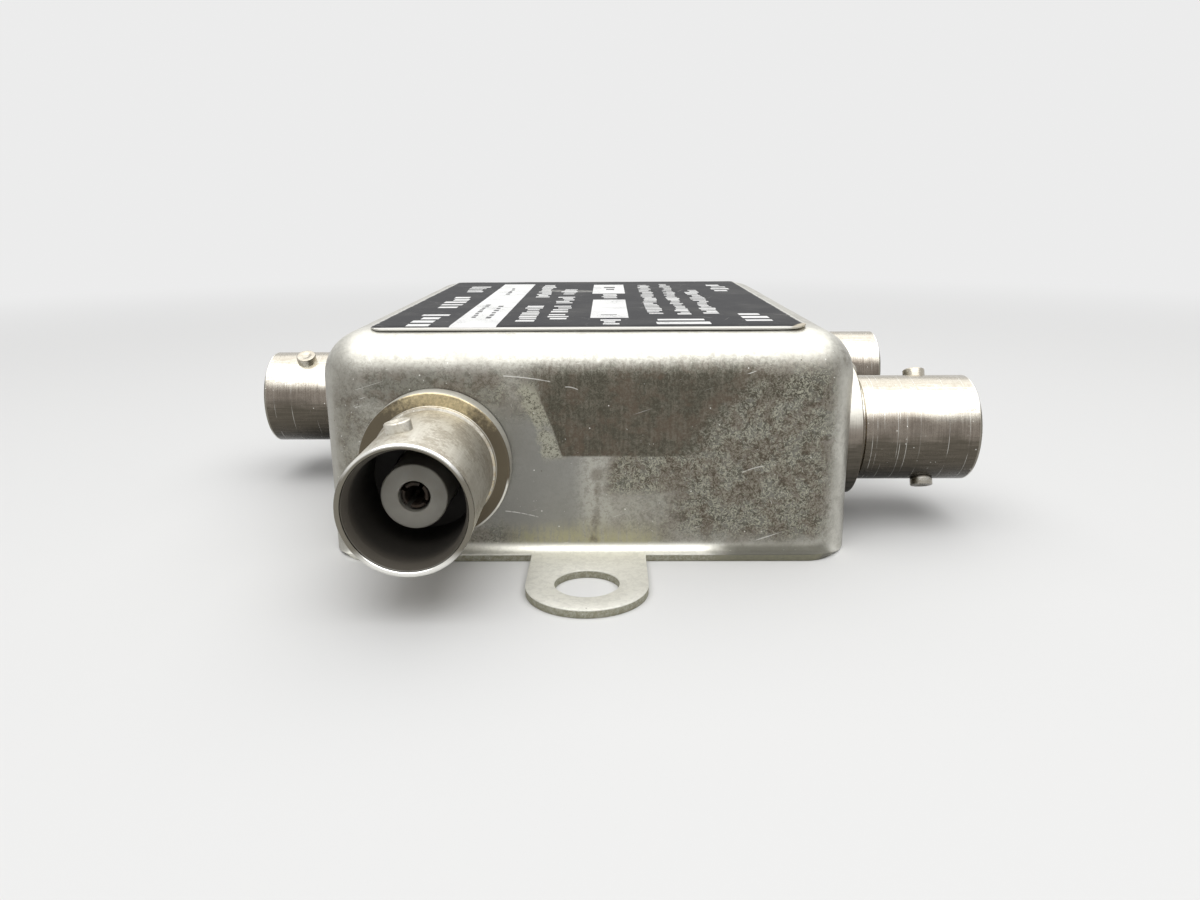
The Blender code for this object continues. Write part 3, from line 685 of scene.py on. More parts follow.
@dataclass(frozen=True)
class PlatedSheet:
    """Dull plating on the drawn can, with the patina and stains of its front wall, and painted
    highlights and shade on its shoulders, corners and lip.
    """

    clean: Colour = (0.44, 0.43, 0.385)
    cloudy: Colour = (0.285, 0.272, 0.238)
    smooth: Colour = (0.240, 0.238, 0.221)
    patina: Colour = (0.080, 0.073, 0.053)
    russet: Colour = (0.118, 0.092, 0.067)
    tan: Colour = (0.172, 0.155, 0.122)
    ash: Colour = (0.148, 0.144, 0.119)
    crust: Colour = (0.45, 0.44, 0.35)
    streak: Colour = (0.115, 0.092, 0.062)
    moss: Colour = (0.37, 0.348, 0.215)
    bright: Colour = (0.82, 0.81, 0.77)
    # The pale lip tone also serves as painted highlight on the can's shoulders, corners, lip and tabs.
    lip: Colour = (0.86, 0.85, 0.78)
    cut: Colour = (0.30, 0.29, 0.215)
    half_width: float = 22.0
    half_depth: float = 26.2
    front: float = -25.3
    front_foot: float = 0.9
    patina_foot: float = 8.75
    patina_left: float = -2.15
    patina_slant: float = 0.29
    patina_bow: float = 0.012
    run_middle: float = 0.6
    run_foot: float = 1.6
    run_top: float = 7.2
    lip_top: float = 1.5
    # Where the lip's painted highlight ends.
    lip_highlight_to: float = 9.0
    flat_from: float = 26.6
    tab_half: float = 5.0
    sheet: float = 0.65
    smooth_patch: WallPatch = WallPatch(-7.5, -1.6, 3.0, 11.5, 2.0, 3.0)
    under_patch: WallPatch = WallPatch(2.4, 9.0, 6.2, 9.0, 1.8, 1.3)
    # Partly patina, partly painted shade above the front jack.
    over_jack_patch: WallPatch = WallPatch(-17.0, -7.5, 13.7, 15.2, 2.5, 1.3)
    dotted_patch: WallPatch = WallPatch(-4.6, -2.2, 3.0, 7.0, 0.4, 0.6)
    sprinkled_patch: WallPatch = WallPatch(-21.5, -9.0, 5.0, 13.5, 1.0, 1.5)
    scratches: tuple[Scratch, ...] = (
        Scratch(-6.6, -3.0, 15.4, -0.45),
        Scratch(-1.7, -0.8, 14.5, -0.2),
        Scratch(-6.8, -4.2, 4.1, -0.5),
        Scratch(12.6, 14.2, 7.4, 0.5),
    )

    def past_left(self, can: CanSurface) -> Signal:
        """Return how far a point lies to the right of the dense patina's slanted left edge."""
        above = can.z - self.patina_foot
        return can.x + above * self.patina_slant + above * above * self.patina_bow - self.patina_left

    def solid(self, can: CanSurface) -> Signal:
        """Mask the dense patina: sharp to the left and below, soft elsewhere.

        Args:
            can: the can's surface.

        Returns:
            The mask on any wall.
        """
        above = can.z - self.patina_foot
        softness = can.z.ramp(13.4, 15.0) * 3.4 + 0.22
        left = ((self.past_left(can) + can.waver * 0.7) / softness).ramp(-0.5, 0.55)
        foot = (above + can.waver * 0.5 - (can.patches - 0.5) * 0.3).ramp(-0.12, 0.12)
        right = can.x - above.at_least(0.0) * 0.75 + can.wander * 0.35
        right = right + (can.grit - 0.5) * 4.0 + (can.fine - 0.5) * 6.0
        top = (can.z + can.wander * 0.15 + (can.drawn - 0.5) * 2.0).ramp(16.9, 14.9)
        return left * foot * top * right.ramp(10.6, 6.8)

    def field(self, can: CanSurface) -> Signal:
        """Mask the thin patina: the wall's right part, a band below, a band above that is partly patina
        and partly painted shade, painted shade below the front jack, the left part.

        Args:
            can: the can's surface.

        Returns:
            The mask on any wall.
        """
        x, z, wander, waver = can.x, can.z, can.wander, can.waver
        ragged = wander * 0.5 + waver * 2.0
        right = (x + wander * 0.7).ramp(3.5, 9.0) * (x + waver * 2.0).ramp(21.0, 18.6)
        right = right * (z + ragged).ramp(0.5, 2.8) * z.ramp(17.6, 14.6)
        thin = (x + ragged).ramp(0.5, 4.0) * z.between(2.6, 8.0, 1.0) * 0.3
        under = self.under_patch.mask(x + ragged, z + waver * 3.0)
        # Partly patina, partly painted shade: the dark band below the top highlight.
        patina_and_shade_band = (z + wander * 0.15).between(12.6, 15.1, 1.5) * x.ramp(-9.0, -2.0) * x.ramp(20.4, 18.4)
        # Painted shade below the front jack, laid as thin patina.
        foot = (x + ragged).ramp(-5.0, -8.0) * (z + ragged).ramp(3.6, 1.8)
        left = (x + ragged).ramp(-14.5, -18.5) * z.ramp(16.2, 13.2)
        left = left * (0.25 + can.patches.ramp(0.4, 0.6) * 0.5)
        # Partly patina, partly painted shade: the dark band above the front jack, under the top
        # highlight.
        over_jack = self.over_jack_patch.mask(x, z + wander * 0.12) * 0.8
        spread = right.at_least(under).at_least(patina_and_shade_band * 0.9).at_least(foot * 0.6)
        return spread.at_least(thin).at_least(left).at_least(over_jack)

    def strip(self, can: CanSurface) -> Signal:
        """Mask the narrow speckled strip along the dense patina's left edge.

        Args:
            can: the can's surface.

        Returns:
            The mask on any wall.
        """
        ragged = can.waver * 2.2 + (can.patches - 0.5) * 3.0
        inside = (self.past_left(can) + 0.7 + ragged).between(-0.4, 0.7, 0.5)
        inside = inside * (can.z + can.wander * 0.3).between(9.3, 14.0, 1.0)
        return inside * can.patches.ramp(0.2, 0.45)

    def run(self, can: CanSurface) -> Signal:
        """Mask the brown run from the dense patina to the foot, with the blot at its upper end.

        Args:
            can: the can's surface.

        Returns:
            The mask on any wall.
        """
        path = can.x - self.run_middle + (can.broad - 0.5) * 3.0 + (can.fine - 0.5) * 1.1
        run = abs(path).ramp(0.5, 0.05) * can.z.between(self.run_foot, self.run_top, 0.7)
        run = run * can.patches.ramp(0.34, 0.56) * can.fine.ramp(0.25, 0.6)
        blot = abs(path).ramp(0.75, 0.2) * can.z.between(self.run_top - 0.3, self.run_top + 0.3, 0.4)
        return (run * 0.65).at_least(blot * can.fine.ramp(0.3, 0.55) * 0.5)

    def stain(self, can: CanSurface) -> Signal:
        """Mask the greenish deposit above the tab."""
        low = can.x.between(-5.0, 4.6, 3.0) * (can.z + can.wander * 0.4).ramp(3.9, 1.6)
        return low * (can.texture * 0.5 + can.drawn * 0.5).ramp(0.38, 0.56)

    def long_scratches(self, can: CanSurface) -> Signal:
        """Mask the long scratches on the front wall, each slightly bowed.

        Args:
            can: the can's surface.

        Returns:
            The mask on any wall.
        """
        marks = []
        for scratch in self.scratches:
            share = (can.x - scratch.left) / (scratch.right - scratch.left)
            bow = share * (1.0 - share) * 0.25
            line = share * scratch.rise + scratch.height + bow + can.waver * 0.12
            inside = can.x.between(scratch.left, scratch.right, 0.1)
            marks.append(abs(can.z - line).ramp(0.055, 0.02) * inside)
        return reduce(Signal.at_least, marks) * can.fine.ramp(0.34, 0.5)

    def masks(self, can: CanSurface) -> CanMasks:
        """Work out where everything lies.

        Args:
            can: the can's surface.

        Returns:
            The masks.
        """
        x, y, z = can.x, can.y, can.z
        front = y.ramp(self.front + 0.5, self.front - 0.5)
        front = front * z.ramp(self.front_foot, self.front_foot + 0.6)
        solid = self.solid(can) * front
        field = self.field(can) * front
        curls = field * can.curls * (0.82 - solid * 0.74)
        curls = curls * (can.patches.ramp(0.60, 0.42) * 0.6 + 0.35)
        curls = curls * (1.0 - x.ramp(-6.0, -9.0) * z.ramp(12.0, 13.5) * 0.8)
        flat = abs(y).ramp(self.flat_from, self.flat_from + 0.3)
        lip = z.ramp(self.lip_top, 0.9) * abs(y).ramp(25.4, 26.3)
        on_tab = flat * abs(x).ramp(self.tab_half + 0.4, self.tab_half)
        # Painted highlight on the lip and the tabs; it ends towards the lip's right end, which gets
        # painted shade instead.
        highlight_ends = (x + can.wander * 0.4).ramp(self.lip_highlight_to, self.lip_highlight_to + 3.5)
        scratch = can.scratches(can.where, (0, 18, 0), 7.0, 0.2)
        scratch = scratch.at_least(can.scratches(can.where, (0, -64, 25), 6.0, 0.1))
        spotted = self.dotted_patch.mask(x, z).at_least(self.sprinkled_patch.mask(x, z) * 0.6)
        dots = can.specks(can.where, 0.5, 0.06, 0.3) * spotted * front
        return CanMasks(
            front=front,
            solid=solid,
            field=field,
            curls=curls,
            strip=self.strip(can) * front * (1.0 - solid),
            smooth=self.smooth_patch.mask(x, z) * front * (1.0 - solid),
            stain=self.stain(can) * front,
            flat=flat,
            lip=lip,
            lip_highlight=lip * (1.0 - highlight_ends * (1.0 - on_tab)),
            cut=z.ramp(self.sheet - 0.06, self.sheet - 0.12) * flat,
            scratch=scratch.at_least(self.long_scratches(can) * front),
            dots=dots.at_least(can.specks(can.where, 0.75, 0.05, 0.3)),
            pits=can.specks(can.where, 1.3, 0.07, 0.14),
        )

    def bare(self, can: CanSurface, masks: CanMasks) -> Signal:
        """Colour the plating itself, with its smooth zone, deposit, and painted highlights on the top
        shoulders and vertical corners.

        Args:
            can: the can's surface.
            masks: where everything lies.

        Returns:
            The colour.
        """
        x, y, z, texture = can.x, can.y, can.z, can.texture
        dirty = can.handled.ramp(0.47, 0.68) * (0.35 + texture.ramp(0.56, 0.42) * 0.5)
        left_end = x.ramp(-17.0, -20.5) * z.ramp(16.8, 14.0)
        # Painted highlight: the vertical corners and the top shoulders are lightened towards the pale
        # lip tone.
        corner = abs(x) - self.half_width + (abs(y) - self.half_depth) * 0.9
        corner = corner.ramp(-2.9, -1.6) * z.ramp(18.6, 14.5) * (1.0 - left_end * 0.5)
        shoulder = (z + can.waver * 3.0).ramp(15.4, 18.2) * (0.25 + y.ramp(-19.0, -22.6) * 0.3)
        colour = can.mix(can.broad.ramp(0.4, 0.66) * 0.7, self.clean, self.cloudy)
        colour = can.mix(texture.ramp(0.54, 0.42) * 0.8, colour, self.cloudy)
        colour = can.mix(masks.smooth * 0.8, colour, self.smooth)
        colour = can.mix((dirty * (1.0 - masks.front)).at_least(left_end * 0.5), colour, self.tan)
        colour = can.mix(masks.stain * 0.85, colour, self.moss)
        return can.mix(corner.at_least(shoulder) * (0.6 + can.fine * 0.5), colour, self.lip)

    def weathered(self, can: CanSurface, masks: CanMasks, colour: Signal) -> Signal:
        """Lay the thin and the dense patina, a dark band that is partly patina and partly painted
        shade, the strip and the run over the plating.

        Args:
            can: the can's surface.
            masks: where everything lies.
            colour: the plating's colour.

        Returns:
            The colour.
        """
        texture = can.texture
        thin = can.mix(can.patches.ramp(0.42, 0.56), self.ash, self.russet)
        thin = can.mix(texture.ramp(0.52, 0.40) * 0.7, thin, self.patina)
        colour = can.mix(masks.field * (0.75 + texture.ramp(0.56, 0.44) * 0.25), colour, thin)
        dense = can.mix(can.patches.ramp(0.44, 0.62), self.patina, self.russet)
        dense = can.mix((can.drawn * 0.3 + texture * 0.7).ramp(0.46, 0.62), dense, self.tan)
        # Partly patina, partly painted shade: a dark band under the top highlight on the wall's right
        # part.
        patina_and_shade_band = can.z.between(13.9, 15.0, 0.9) * can.x.ramp(6.0, 10.0) * can.x.ramp(20.4, 17.4)
        patina_and_shade_band = patina_and_shade_band * masks.front * (0.35 + texture.ramp(0.54, 0.44) * 0.4)
        colour = can.mix(patina_and_shade_band, colour, self.patina)
        colour = can.mix(masks.solid, colour, can.mix(can.curls * 0.22, dense, self.ash))
        colour = can.mix(masks.curls, colour, self.crust)
        colour = can.mix(masks.strip * 0.7, colour, self.crust)
        speckled = (can.grit * 0.7 + can.fine * 0.3).ramp(0.50, 0.43)
        colour = can.mix(masks.strip * speckled * 0.85, colour, self.patina)
        return can.mix(self.run(can) * masks.front, colour, self.streak)

    def worn(self, can: CanSurface, masks: CanMasks, colour: Signal) -> Signal:
        """Lay the painted highlight on the lip and tabs, the painted shade on the lip's right end, the
        cut edge and the small marks over the rest.

        Args:
            can: the can's surface.
            masks: where everything lies.
            colour: the colour so far.

        Returns:
            The colour.
        """
        # Painted highlight on the lip, then painted shade on its right end.
        colour = can.mix(masks.lip_highlight * (0.8 + can.fine.ramp(0.62, 0.42) * 0.2), colour, self.lip)
        lip_shade = (masks.lip - masks.lip_highlight).at_least(0.0)
        colour = can.mix(lip_shade * 0.85, colour, self.ash)
        colour = can.mix(masks.cut * (0.75 + can.texture.ramp(0.56, 0.46) * 0.25), colour, self.cut)
        colour = can.mix((masks.scratch * 0.6).at_least(masks.dots * 0.9), colour, self.bright)
        return can.mix(masks.pits * 0.8, colour, self.streak)

    def make(self) -> bpy.types.Material:
        """Make the material.

        Returns:
            The finished material.
        """
        can = CanSurface("plated_sheet")
        masks = self.masks(can)
        colour = self.bare(can, masks)
        colour = self.weathered(can, masks, colour)
        colour = self.worn(can, masks, colour)

        stained = masks.solid.at_least(masks.field)
        roughness = 0.37 + stained * 0.1 + (can.dust - 0.5) * 0.14 + can.broad * 0.06
        roughness = roughness + masks.lip * 0.12 + masks.cut * 0.15 - masks.smooth * 0.04
        roughness = roughness + (masks.lip - masks.lip_highlight) * 0.25
        tarnish = (stained * 0.25).at_least(masks.strip * 0.3).at_least(masks.stain * 0.25)
        metallic = 1.0 - tarnish - masks.flat * 0.4
        height = can.fine * 0.012 + can.grit * 0.01 + can.dust * 0.003
        height = height + masks.curls * 0.008 - masks.solid * 0.004
        height = height - masks.pits * 0.02 - masks.scratch * 0.006
        return can.dress(colour, roughness, metallic, height)


class JackSurface(Shader):
    """A jack's surface: its points in the jack's own frame and in the part's, and its noises."""

    def __init__(self, name: str, axis_height: float) -> None:
        """Start the material and read the places and every noise.

        Args:
            name: name of the material.
            axis_height: height of the jacks' axes.
        """
        super().__init__(name)
        self.local = self.attribute(JackSet.PLACE)
        self.world = self.place()
        x, y, self.out = self.axes(self.local)
        self.across, _, up = self.axes(self.world)
        self.radius = (x * x + y * y) ** 0.5
        self.level = up - axis_height
        self.fine = self.cloud(self.world, 2.6, 6.0, 0.7, 0.4)
        self.grit = self.cloud(self.world, 7.0, 4.0, 0.7, 0.6)
        self.broad = self.cloud(self.world, 0.3, 3.0, 0.55)
        self.rings = self.cloud(self.vector(self.out, 0.0, 0.0), 9.0, 4.0, 0.75)
        self.arcs = self.cloud(self.scaled(self.local, (0.25, 0.25, 11.0)), 1.0, 4.0, 0.7)
        self.lengthways = self.cloud(self.scaled(self.local, (5.0, 5.0, 0.35)), 1.0, 4.0, 0.65)
        self.sweep = self.cloud(self.scaled(self.local, (0.22, 0.22, 0.1)), 1.0, 2.0, 0.5)
        self.patches = self.cloud(self.scaled(self.local, (0.5, 0.5, 0.35)), 1.0, 4.0, 0.6)


@dataclass(frozen=True)
class JackMasks:
    """Where each part of a jack and each kind of wear lies, and how deep the bore's painted shade goes,
    from 0 to 1.
    """

    aside: Signal
    outside: Signal
    barrel: Signal
    face: Signal
    side: Signal
    bore: Signal
    bore_shade_depth: Signal
    rim: Signal
    stains: Signal
    scored: Signal
    dings: Signal


@dataclass(frozen=True)
class TurnedNickel:
    """Nickel over brass on the turned jacks: turning marks, browned flanges, painted shade on the lower
    halves and in the bore, painted sheen and highlights on flanges and rims.
    """

    nickel: Colour = (0.64, 0.615, 0.545)
    dull: Colour = (0.37, 0.33, 0.262)
    # The next four colours are painted shade, laid by height on the lower halves of the jacks.
    mottle: Colour = (0.165, 0.137, 0.112)
    shade_blush: Colour = (0.25, 0.215, 0.18)
    lower_shade: Colour = (0.100, 0.088, 0.069)
    deepest_shade: Colour = (0.050, 0.046, 0.038)
    brass: Colour = (0.62, 0.51, 0.30)
    flange_face: Colour = (0.130, 0.109, 0.076)
    # Painted sheen for the top of the flange face, and a painted highlight for the flange's upper side.
    flange_sheen: Colour = (0.62, 0.52, 0.32)
    flange_side: Colour = (0.76, 0.745, 0.68)
    # Dark rim tone: painted shade.
    rim: Colour = (0.20, 0.185, 0.15)
    # The bore's two tones are painted shade, lighter at the mouth and darker deeper in.
    bore: Colour = (0.034, 0.030, 0.025)
    bore_shade_mouth: Colour = (0.10, 0.088, 0.070)
    # Pale nickel for scored lines and dings, and for painted sheen streaks, glints and rim highlights.
    bright: Colour = (0.88, 0.87, 0.82)
    scores: tuple[float, ...] = (2.9, 3.3, 3.9, 5.1, 5.3, 5.9, 7.1, 9.6, 11.4)
    axis_height: float = 8.4
    can_side: float = 22.0
    flange_radius: float = 6.05
    flange_front: float = 1.75
    inner_wall: float = 4.5
    lug_from: float = 6.8
    mouth: float = 12.5

    def scored(self, jack: JackSurface) -> Signal:
        """Mask the broken bright lines that plugs have scored round the barrel.

        Args:
            jack: the jack's surface.

        Returns:
            The mask.
        """
        lines = []
        for number, place in enumerate(self.scores):
            apart = jack.scaled(jack.local, (0.45, 0.45, 1.7 * number + 1.0))
            reach = jack.cloud(apart, 1.0, 3.0).ramp(0.43, 0.58)
            lines.append(abs(jack.out - place).ramp(0.035, 0.008) * reach)
        return reduce(Signal.at_least, lines)

    def masks(self, jack: JackSurface) -> JackMasks:
        """Work out where everything lies.

        Args:
            jack: the jack's surface.

        Returns:
            The masks.
        """
        out, radius = jack.out, jack.radius
        behind_mouth = out.ramp(self.mouth - 0.12, self.mouth - 0.3)
        outside = radius.ramp(self.inner_wall, self.inner_wall + 0.1) * behind_mouth
        barrel = outside * out.ramp(self.flange_front, self.flange_front + 0.1)
        face = out.between(self.flange_front - 0.05, self.flange_front + 0.1, 0.08)
        side = out.between(0.1, self.flange_front - 0.12, 0.06)
        stains = (jack.fine * 0.6 + jack.grit * 0.4).ramp(0.46, 0.66) * jack.patches.ramp(0.35, 0.6)
        dings = jack.specks(jack.world, 0.42, 0.055, 0.4) * jack.patches.ramp(0.52, 0.6)
        bore = radius.ramp(self.inner_wall + 0.06, self.inner_wall - 0.04) * out.ramp(3.6, 3.8)
        return JackMasks(
            aside=abs(jack.across).ramp(self.can_side, self.can_side + 0.4),
            outside=outside,
            barrel=barrel,
            face=radius.ramp(4.95, 5.05) * face,
            side=radius.ramp(5.85, 5.98) * side,
            bore=bore * behind_mouth,
            bore_shade_depth=out.ramp(self.mouth - 0.3, self.mouth - 2.6),
            rim=(1.0 - behind_mouth) * radius.ramp(4.1, 4.2),
            stains=stains,
            scored=self.scored(jack) * barrel,
            dings=dings * barrel,
        )

    def barrel_colour(self, jack: JackSurface, masks: JackMasks) -> Signal:
        """Colour the nickel with its stains, turning marks, blotches and the painted sheen of streaks
        along the barrel.

        Args:
            jack: the jack's surface.
            masks: where everything lies.

        Returns:
            The colour.
        """
        barrel, aside, lengthways = masks.barrel, masks.aside, jack.lengthways
        colour = jack.mix(masks.stains * 0.6, self.nickel, self.dull)
        colour = jack.mix(jack.arcs.ramp(0.48, 0.72) * 0.35 * barrel, colour, self.dull)
        # Painted sheen: dull and pale streaks along the barrel stand for the streaky reflection of the
        # turned nickel.
        dull_sheen_lines = lengthways.ramp(0.46, 0.64) * (0.15 + aside * 0.25)
        colour = jack.mix(dull_sheen_lines * barrel, colour, self.dull)
        sheen_lines = lengthways.ramp(0.46, 0.34) * (0.2 + aside * 0.5)
        colour = jack.mix(sheen_lines * barrel, colour, self.bright)
        blotched = (jack.fine * 0.35 + jack.grit * 0.15 + jack.patches * 0.5).ramp(0.46, 0.56)
        return jack.mix(blotched * 0.7 * barrel * (1.0 - aside), colour, self.dull)

    def shade_by_height(self, jack: JackSurface, masks: JackMasks, colour: Signal) -> Signal:
        """Paint shade by height: darken the lower half of the jacks, most on the ones at the can's
        sides, and the tops of the side barrels.

        Args:
            jack: the jack's surface.
            masks: where everything lies.
            colour: the nickel's colour.

        Returns:
            The colour.
        """
        # Painted shade: the barrels grow darker towards the bottom, most on the side jacks, and the
        # side barrels' tops are darkened a little.
        level, arcs, lengthways, patches = jack.level, jack.arcs, jack.lengthways, jack.patches
        ragged = level + (jack.broad - 0.5) * 2.0 + (arcs - 0.5) * 1.4 + (lengthways - 0.5) * 0.8
        on_lug = jack.radius.ramp(4.86, 4.96) * jack.out.ramp(self.lug_from, self.lug_from + 0.2)
        shade_weight = masks.outside * (0.16 + masks.aside * 0.84) * (1.0 - on_lug * 0.7)
        streaked = (arcs * 0.45 + jack.grit * 0.25 + patches * 0.3).ramp(0.43, 0.57)
        middle = jack.mix(streaked, self.mottle, self.shade_blush)
        colour = jack.mix(ragged.ramp(2.7, 1.3) * shade_weight * 0.95, colour, middle)
        lower = (level + (lengthways - 0.5) * 1.2 + (patches - 0.5) * 1.5).ramp(0.9, -0.6) * shade_weight
        shade_tone = jack.mix(level.ramp(-1.6, -4.4), self.lower_shade, self.deepest_shade)
        colour = jack.mix(lower * (0.8 + lengthways.ramp(0.6, 0.4) * 0.2), colour, shade_tone)
        top_shade = (level + (jack.fine - 0.5) * 1.5).ramp(3.7, 4.6) * masks.barrel * masks.aside
        return jack.mix(top_shade * 0.6, colour, self.dull)

    def trimmed(self, jack: JackSurface, masks: JackMasks, colour: Signal) -> Signal:
        """Colour the flange, the collar, the rim and the bore, with painted sheen, glints and
        highlights on flange and rim, painted shade in the bore, and the bright marks on the barrel.

        Args:
            jack: the jack's surface.
            masks: where everything lies.
            colour: the colour so far.

        Returns:
            The colour.
        """
        level, out, radius, fine = jack.level, jack.out, jack.radius, jack.fine
        # Painted sheen: the flange face turns golden towards its top; its side is painted lighter
        # towards the top as a highlight.
        top_sheen = (level + (jack.sweep - 0.5) * 7.0 + (fine - 0.5) * 5.0).ramp(3.4, 6.4)
        top_sheen = top_sheen * (0.75 + jack.lengthways.ramp(0.6, 0.4) * 0.3)
        colour = jack.mix(masks.face, colour, jack.mix(top_sheen, self.flange_face, self.flange_sheen))
        lit_side = masks.side * level.ramp(0.5, 3.6) * (0.7 + fine * 0.3)
        colour = jack.mix(lit_side, colour, self.flange_side)
        # The collar shows brass on its lower part only, partly real wear and partly a painted glint.
        collar = radius.between(4.75, 5.05, 0.06) * out.between(1.85, 2.1, 0.06)
        collar = collar * fine.ramp(0.42, 0.60) * level.ramp(3.0, 1.0)
        colour = jack.mix(collar * 0.5, colour, self.brass)
        # Painted glint on the lower right edge of the front jack's flange.
        glint = abs(radius - self.flange_radius + 0.08).ramp(0.13, 0.05) * out.between(1.5, 1.75, 0.08)
        glint = glint * level.between(-4.6, -1.6, 0.8) * jack.across.ramp(-12.0, -10.0)
        colour = jack.mix(glint * (1.0 - masks.aside) * 0.8, colour, self.bright)
        # Painted highlight on the rim's top and bottom, over a dark rim tone that is painted shade.
        above = level.ramp(2.0, 3.6) * radius.ramp(4.56, 4.68)
        rim_highlight = level.ramp(-2.6, -3.9).at_least(above)
        colour = jack.mix(masks.rim, colour, jack.mix(rim_highlight, self.rim, self.bright))
        # Painted shade in the bore, darker the deeper it goes.
        inside = jack.mix(masks.bore_shade_depth, self.bore_shade_mouth, self.bore)
        colour = jack.mix(masks.bore, colour, inside)
        return jack.mix((masks.scored * 0.55).at_least(masks.dings * 0.8), colour, self.bright)

    def make(self) -> bpy.types.Material:
        """Make the material.

        Returns:
            The finished material.
        """
        jack = JackSurface("turned_nickel", self.axis_height)
        masks = self.masks(jack)
        colour = self.barrel_colour(jack, masks)
        colour = self.shade_by_height(jack, masks, colour)
        colour = self.trimmed(jack, masks, colour)

        roughness = 0.24 + masks.stains * 0.14 + (jack.rings - 0.5) * 0.12
        roughness = roughness + masks.barrel * (1.0 - masks.aside) * 0.2 + masks.bore * 0.36
        roughness = roughness + masks.face * 0.12 + masks.side * 0.22 - masks.rim * 0.05
        metallic = 1.0 - masks.bore * 0.9 - masks.side * 0.2
        height = jack.rings * 0.006 + jack.arcs * 0.004 + jack.fine * 0.004
        height = height - masks.scored * 0.008 - masks.dings * 0.02
        return jack.dress(colour, roughness, metallic, height)


@dataclass(frozen=True)
class BlackFoil:
    """Black film on metal foil, rubbed at its edges, with one pale worn band across it."""

    film: Colour = (0.026, 0.026, 0.028)
    rubbed: Colour = (0.075, 0.074, 0.072)
    foil: Colour = (0.60, 0.59, 0.55)
    glue: Colour = (0.55, 0.50, 0.40)
    half_width: float = 17.9
    front: float = -23.4
    rear: float = 21.7
    top: float = 18.86
    bare_edge: float = 0.30
    glued_corner: float = 1.6
    band_middle: float = 8.0
    band_half: float = 1.6
    band_slant: float = 0.25
    gloss: float = 0.075

    def make(self) -> bpy.types.Material:
        """Make the material.

        Returns:
            The finished material.
        """
        shader = Shader("black_foil")
        place = shader.place()
        x, y, z = shader.axes(place)
        fine = shader.cloud(place, 2.4, 5.0, 0.65, 0.4)
        broad = shader.cloud(place, 0.22, 4.0, 0.6)
        grain = shader.cloud(place, 14.0, 2.0, 0.6)
        ragged = (fine - 0.5) * 0.5
        to_side = self.half_width - abs(x)
        to_front = y - self.front
        to_edge = to_side.at_most(to_front * 1.3).at_most(self.rear - y)
        bare = (to_edge + ragged * 0.9).ramp(self.bare_edge, 0.10)
        corner = (to_side + to_front * 0.8 + ragged).ramp(self.glued_corner, 1.25) * x.ramp(0.0, 1.0)
        cut_side = z.ramp(self.top, self.top - 0.02)
        band = abs(y - self.band_middle + x * self.band_slant + (broad - 0.5) * 3.0)
        band = band.ramp(self.band_half, 0.4) * x.between(-5.0, 2.5, 1.5) * fine.ramp(0.36, 0.58)
        scratch = shader.scratches(place, (0, 0, 35), 7.0, 0.35)
        scratch = scratch.at_least(shader.scratches(place, (0, 0, -72), 6.0, 0.2))
        dust = shader.specks(place, 0.8, 0.05, 0.12)

        colour = shader.mix(broad.ramp(0.4, 0.7) * 0.5, self.film, self.rubbed)
        marks = (scratch * 0.45).at_least(band * 0.5).at_least(dust * 0.5)
        colour = shader.mix(marks, colour, self.foil)
        metal = bare.at_least(cut_side)
        colour = shader.mix(metal, colour, self.foil)
        colour = shader.mix(corner * (1.0 - bare * 0.4), colour, self.glue)
        roughness = 0.5 + (grain - 0.5) * 0.14 - metal * 0.12 + broad * 0.08
        height = grain * 0.002 + fine * 0.004 - scratch * 0.004 - bare * 0.01
        fixed = {"Specular IOR Level": self.gloss}
        return shader.dress(colour, roughness, metal * (1.0 - corner) * 0.85, height, fixed)


@dataclass(frozen=True)
class Ink:
    """Printed ink with small gaps where it has rubbed off."""

    name: str
    ink: Colour
    under: Colour
    wear: float

    def make(self) -> bpy.types.Material:
        """Make the material.

        Returns:
            The finished material.
        """
        shader = Shader(self.name)
        place = shader.place()
        fine = shader.cloud(place, 5.0, 4.0, 0.65)
        broad = shader.cloud(place, 0.3, 3.0, 0.6)
        rubbed = (fine + (broad - 0.5) * 0.6).ramp(0.66 - self.wear, 0.72 - self.wear)
        scratch = shader.scratches(place, (0, 0, 35), 7.0, 0.3)
        tinted = tuple(channel * 0.84 for channel in self.ink)
        colour = shader.mix(broad.ramp(0.35, 0.7), self.ink, tinted)
        colour = shader.mix(rubbed.at_least(scratch * 0.5), colour, self.under)
        return shader.dress(colour, 0.5 + (fine - 0.5) * 0.2, 0.0, fine * 0.003)


@dataclass(frozen=True)
class Moulded:
    """Plain moulded, fired or coated stuff with a soft mottle and a fine grain."""

    name: str
    light: Colour
    dark: Colour
    roughness: float
    metallic: float = 0.0
    grain: float = 6.0
    depth: float = 0.006
    soft: float = 0.0

    def make(self) -> bpy.types.Material:
        """Make the material.

        Returns:
            The finished material.
        """
        shader = Shader(self.name)
        place = shader.place()
        mottle = shader.cloud(place, self.grain * 0.2, 4.0, 0.6)
        grain = shader.cloud(place, self.grain, 3.0, 0.65)
        marks = shader.scratches(place, (20, 35, 50), 6.0, 0.15)
        colour = shader.mix(mottle.ramp(0.35, 0.68), self.light, self.dark)
        colour = shader.mix(marks * 0.4, colour, self.dark)
        roughness = self.roughness + (grain - 0.5) * 0.18
        fixed = {
            "Subsurface Weight": self.soft,
            "Subsurface Radius": (1.0, 1.0, 1.0),
            "Subsurface Scale": MILLIMETRE,
        }
        return shader.dress(colour, roughness, self.metallic, grain * self.depth, fixed)


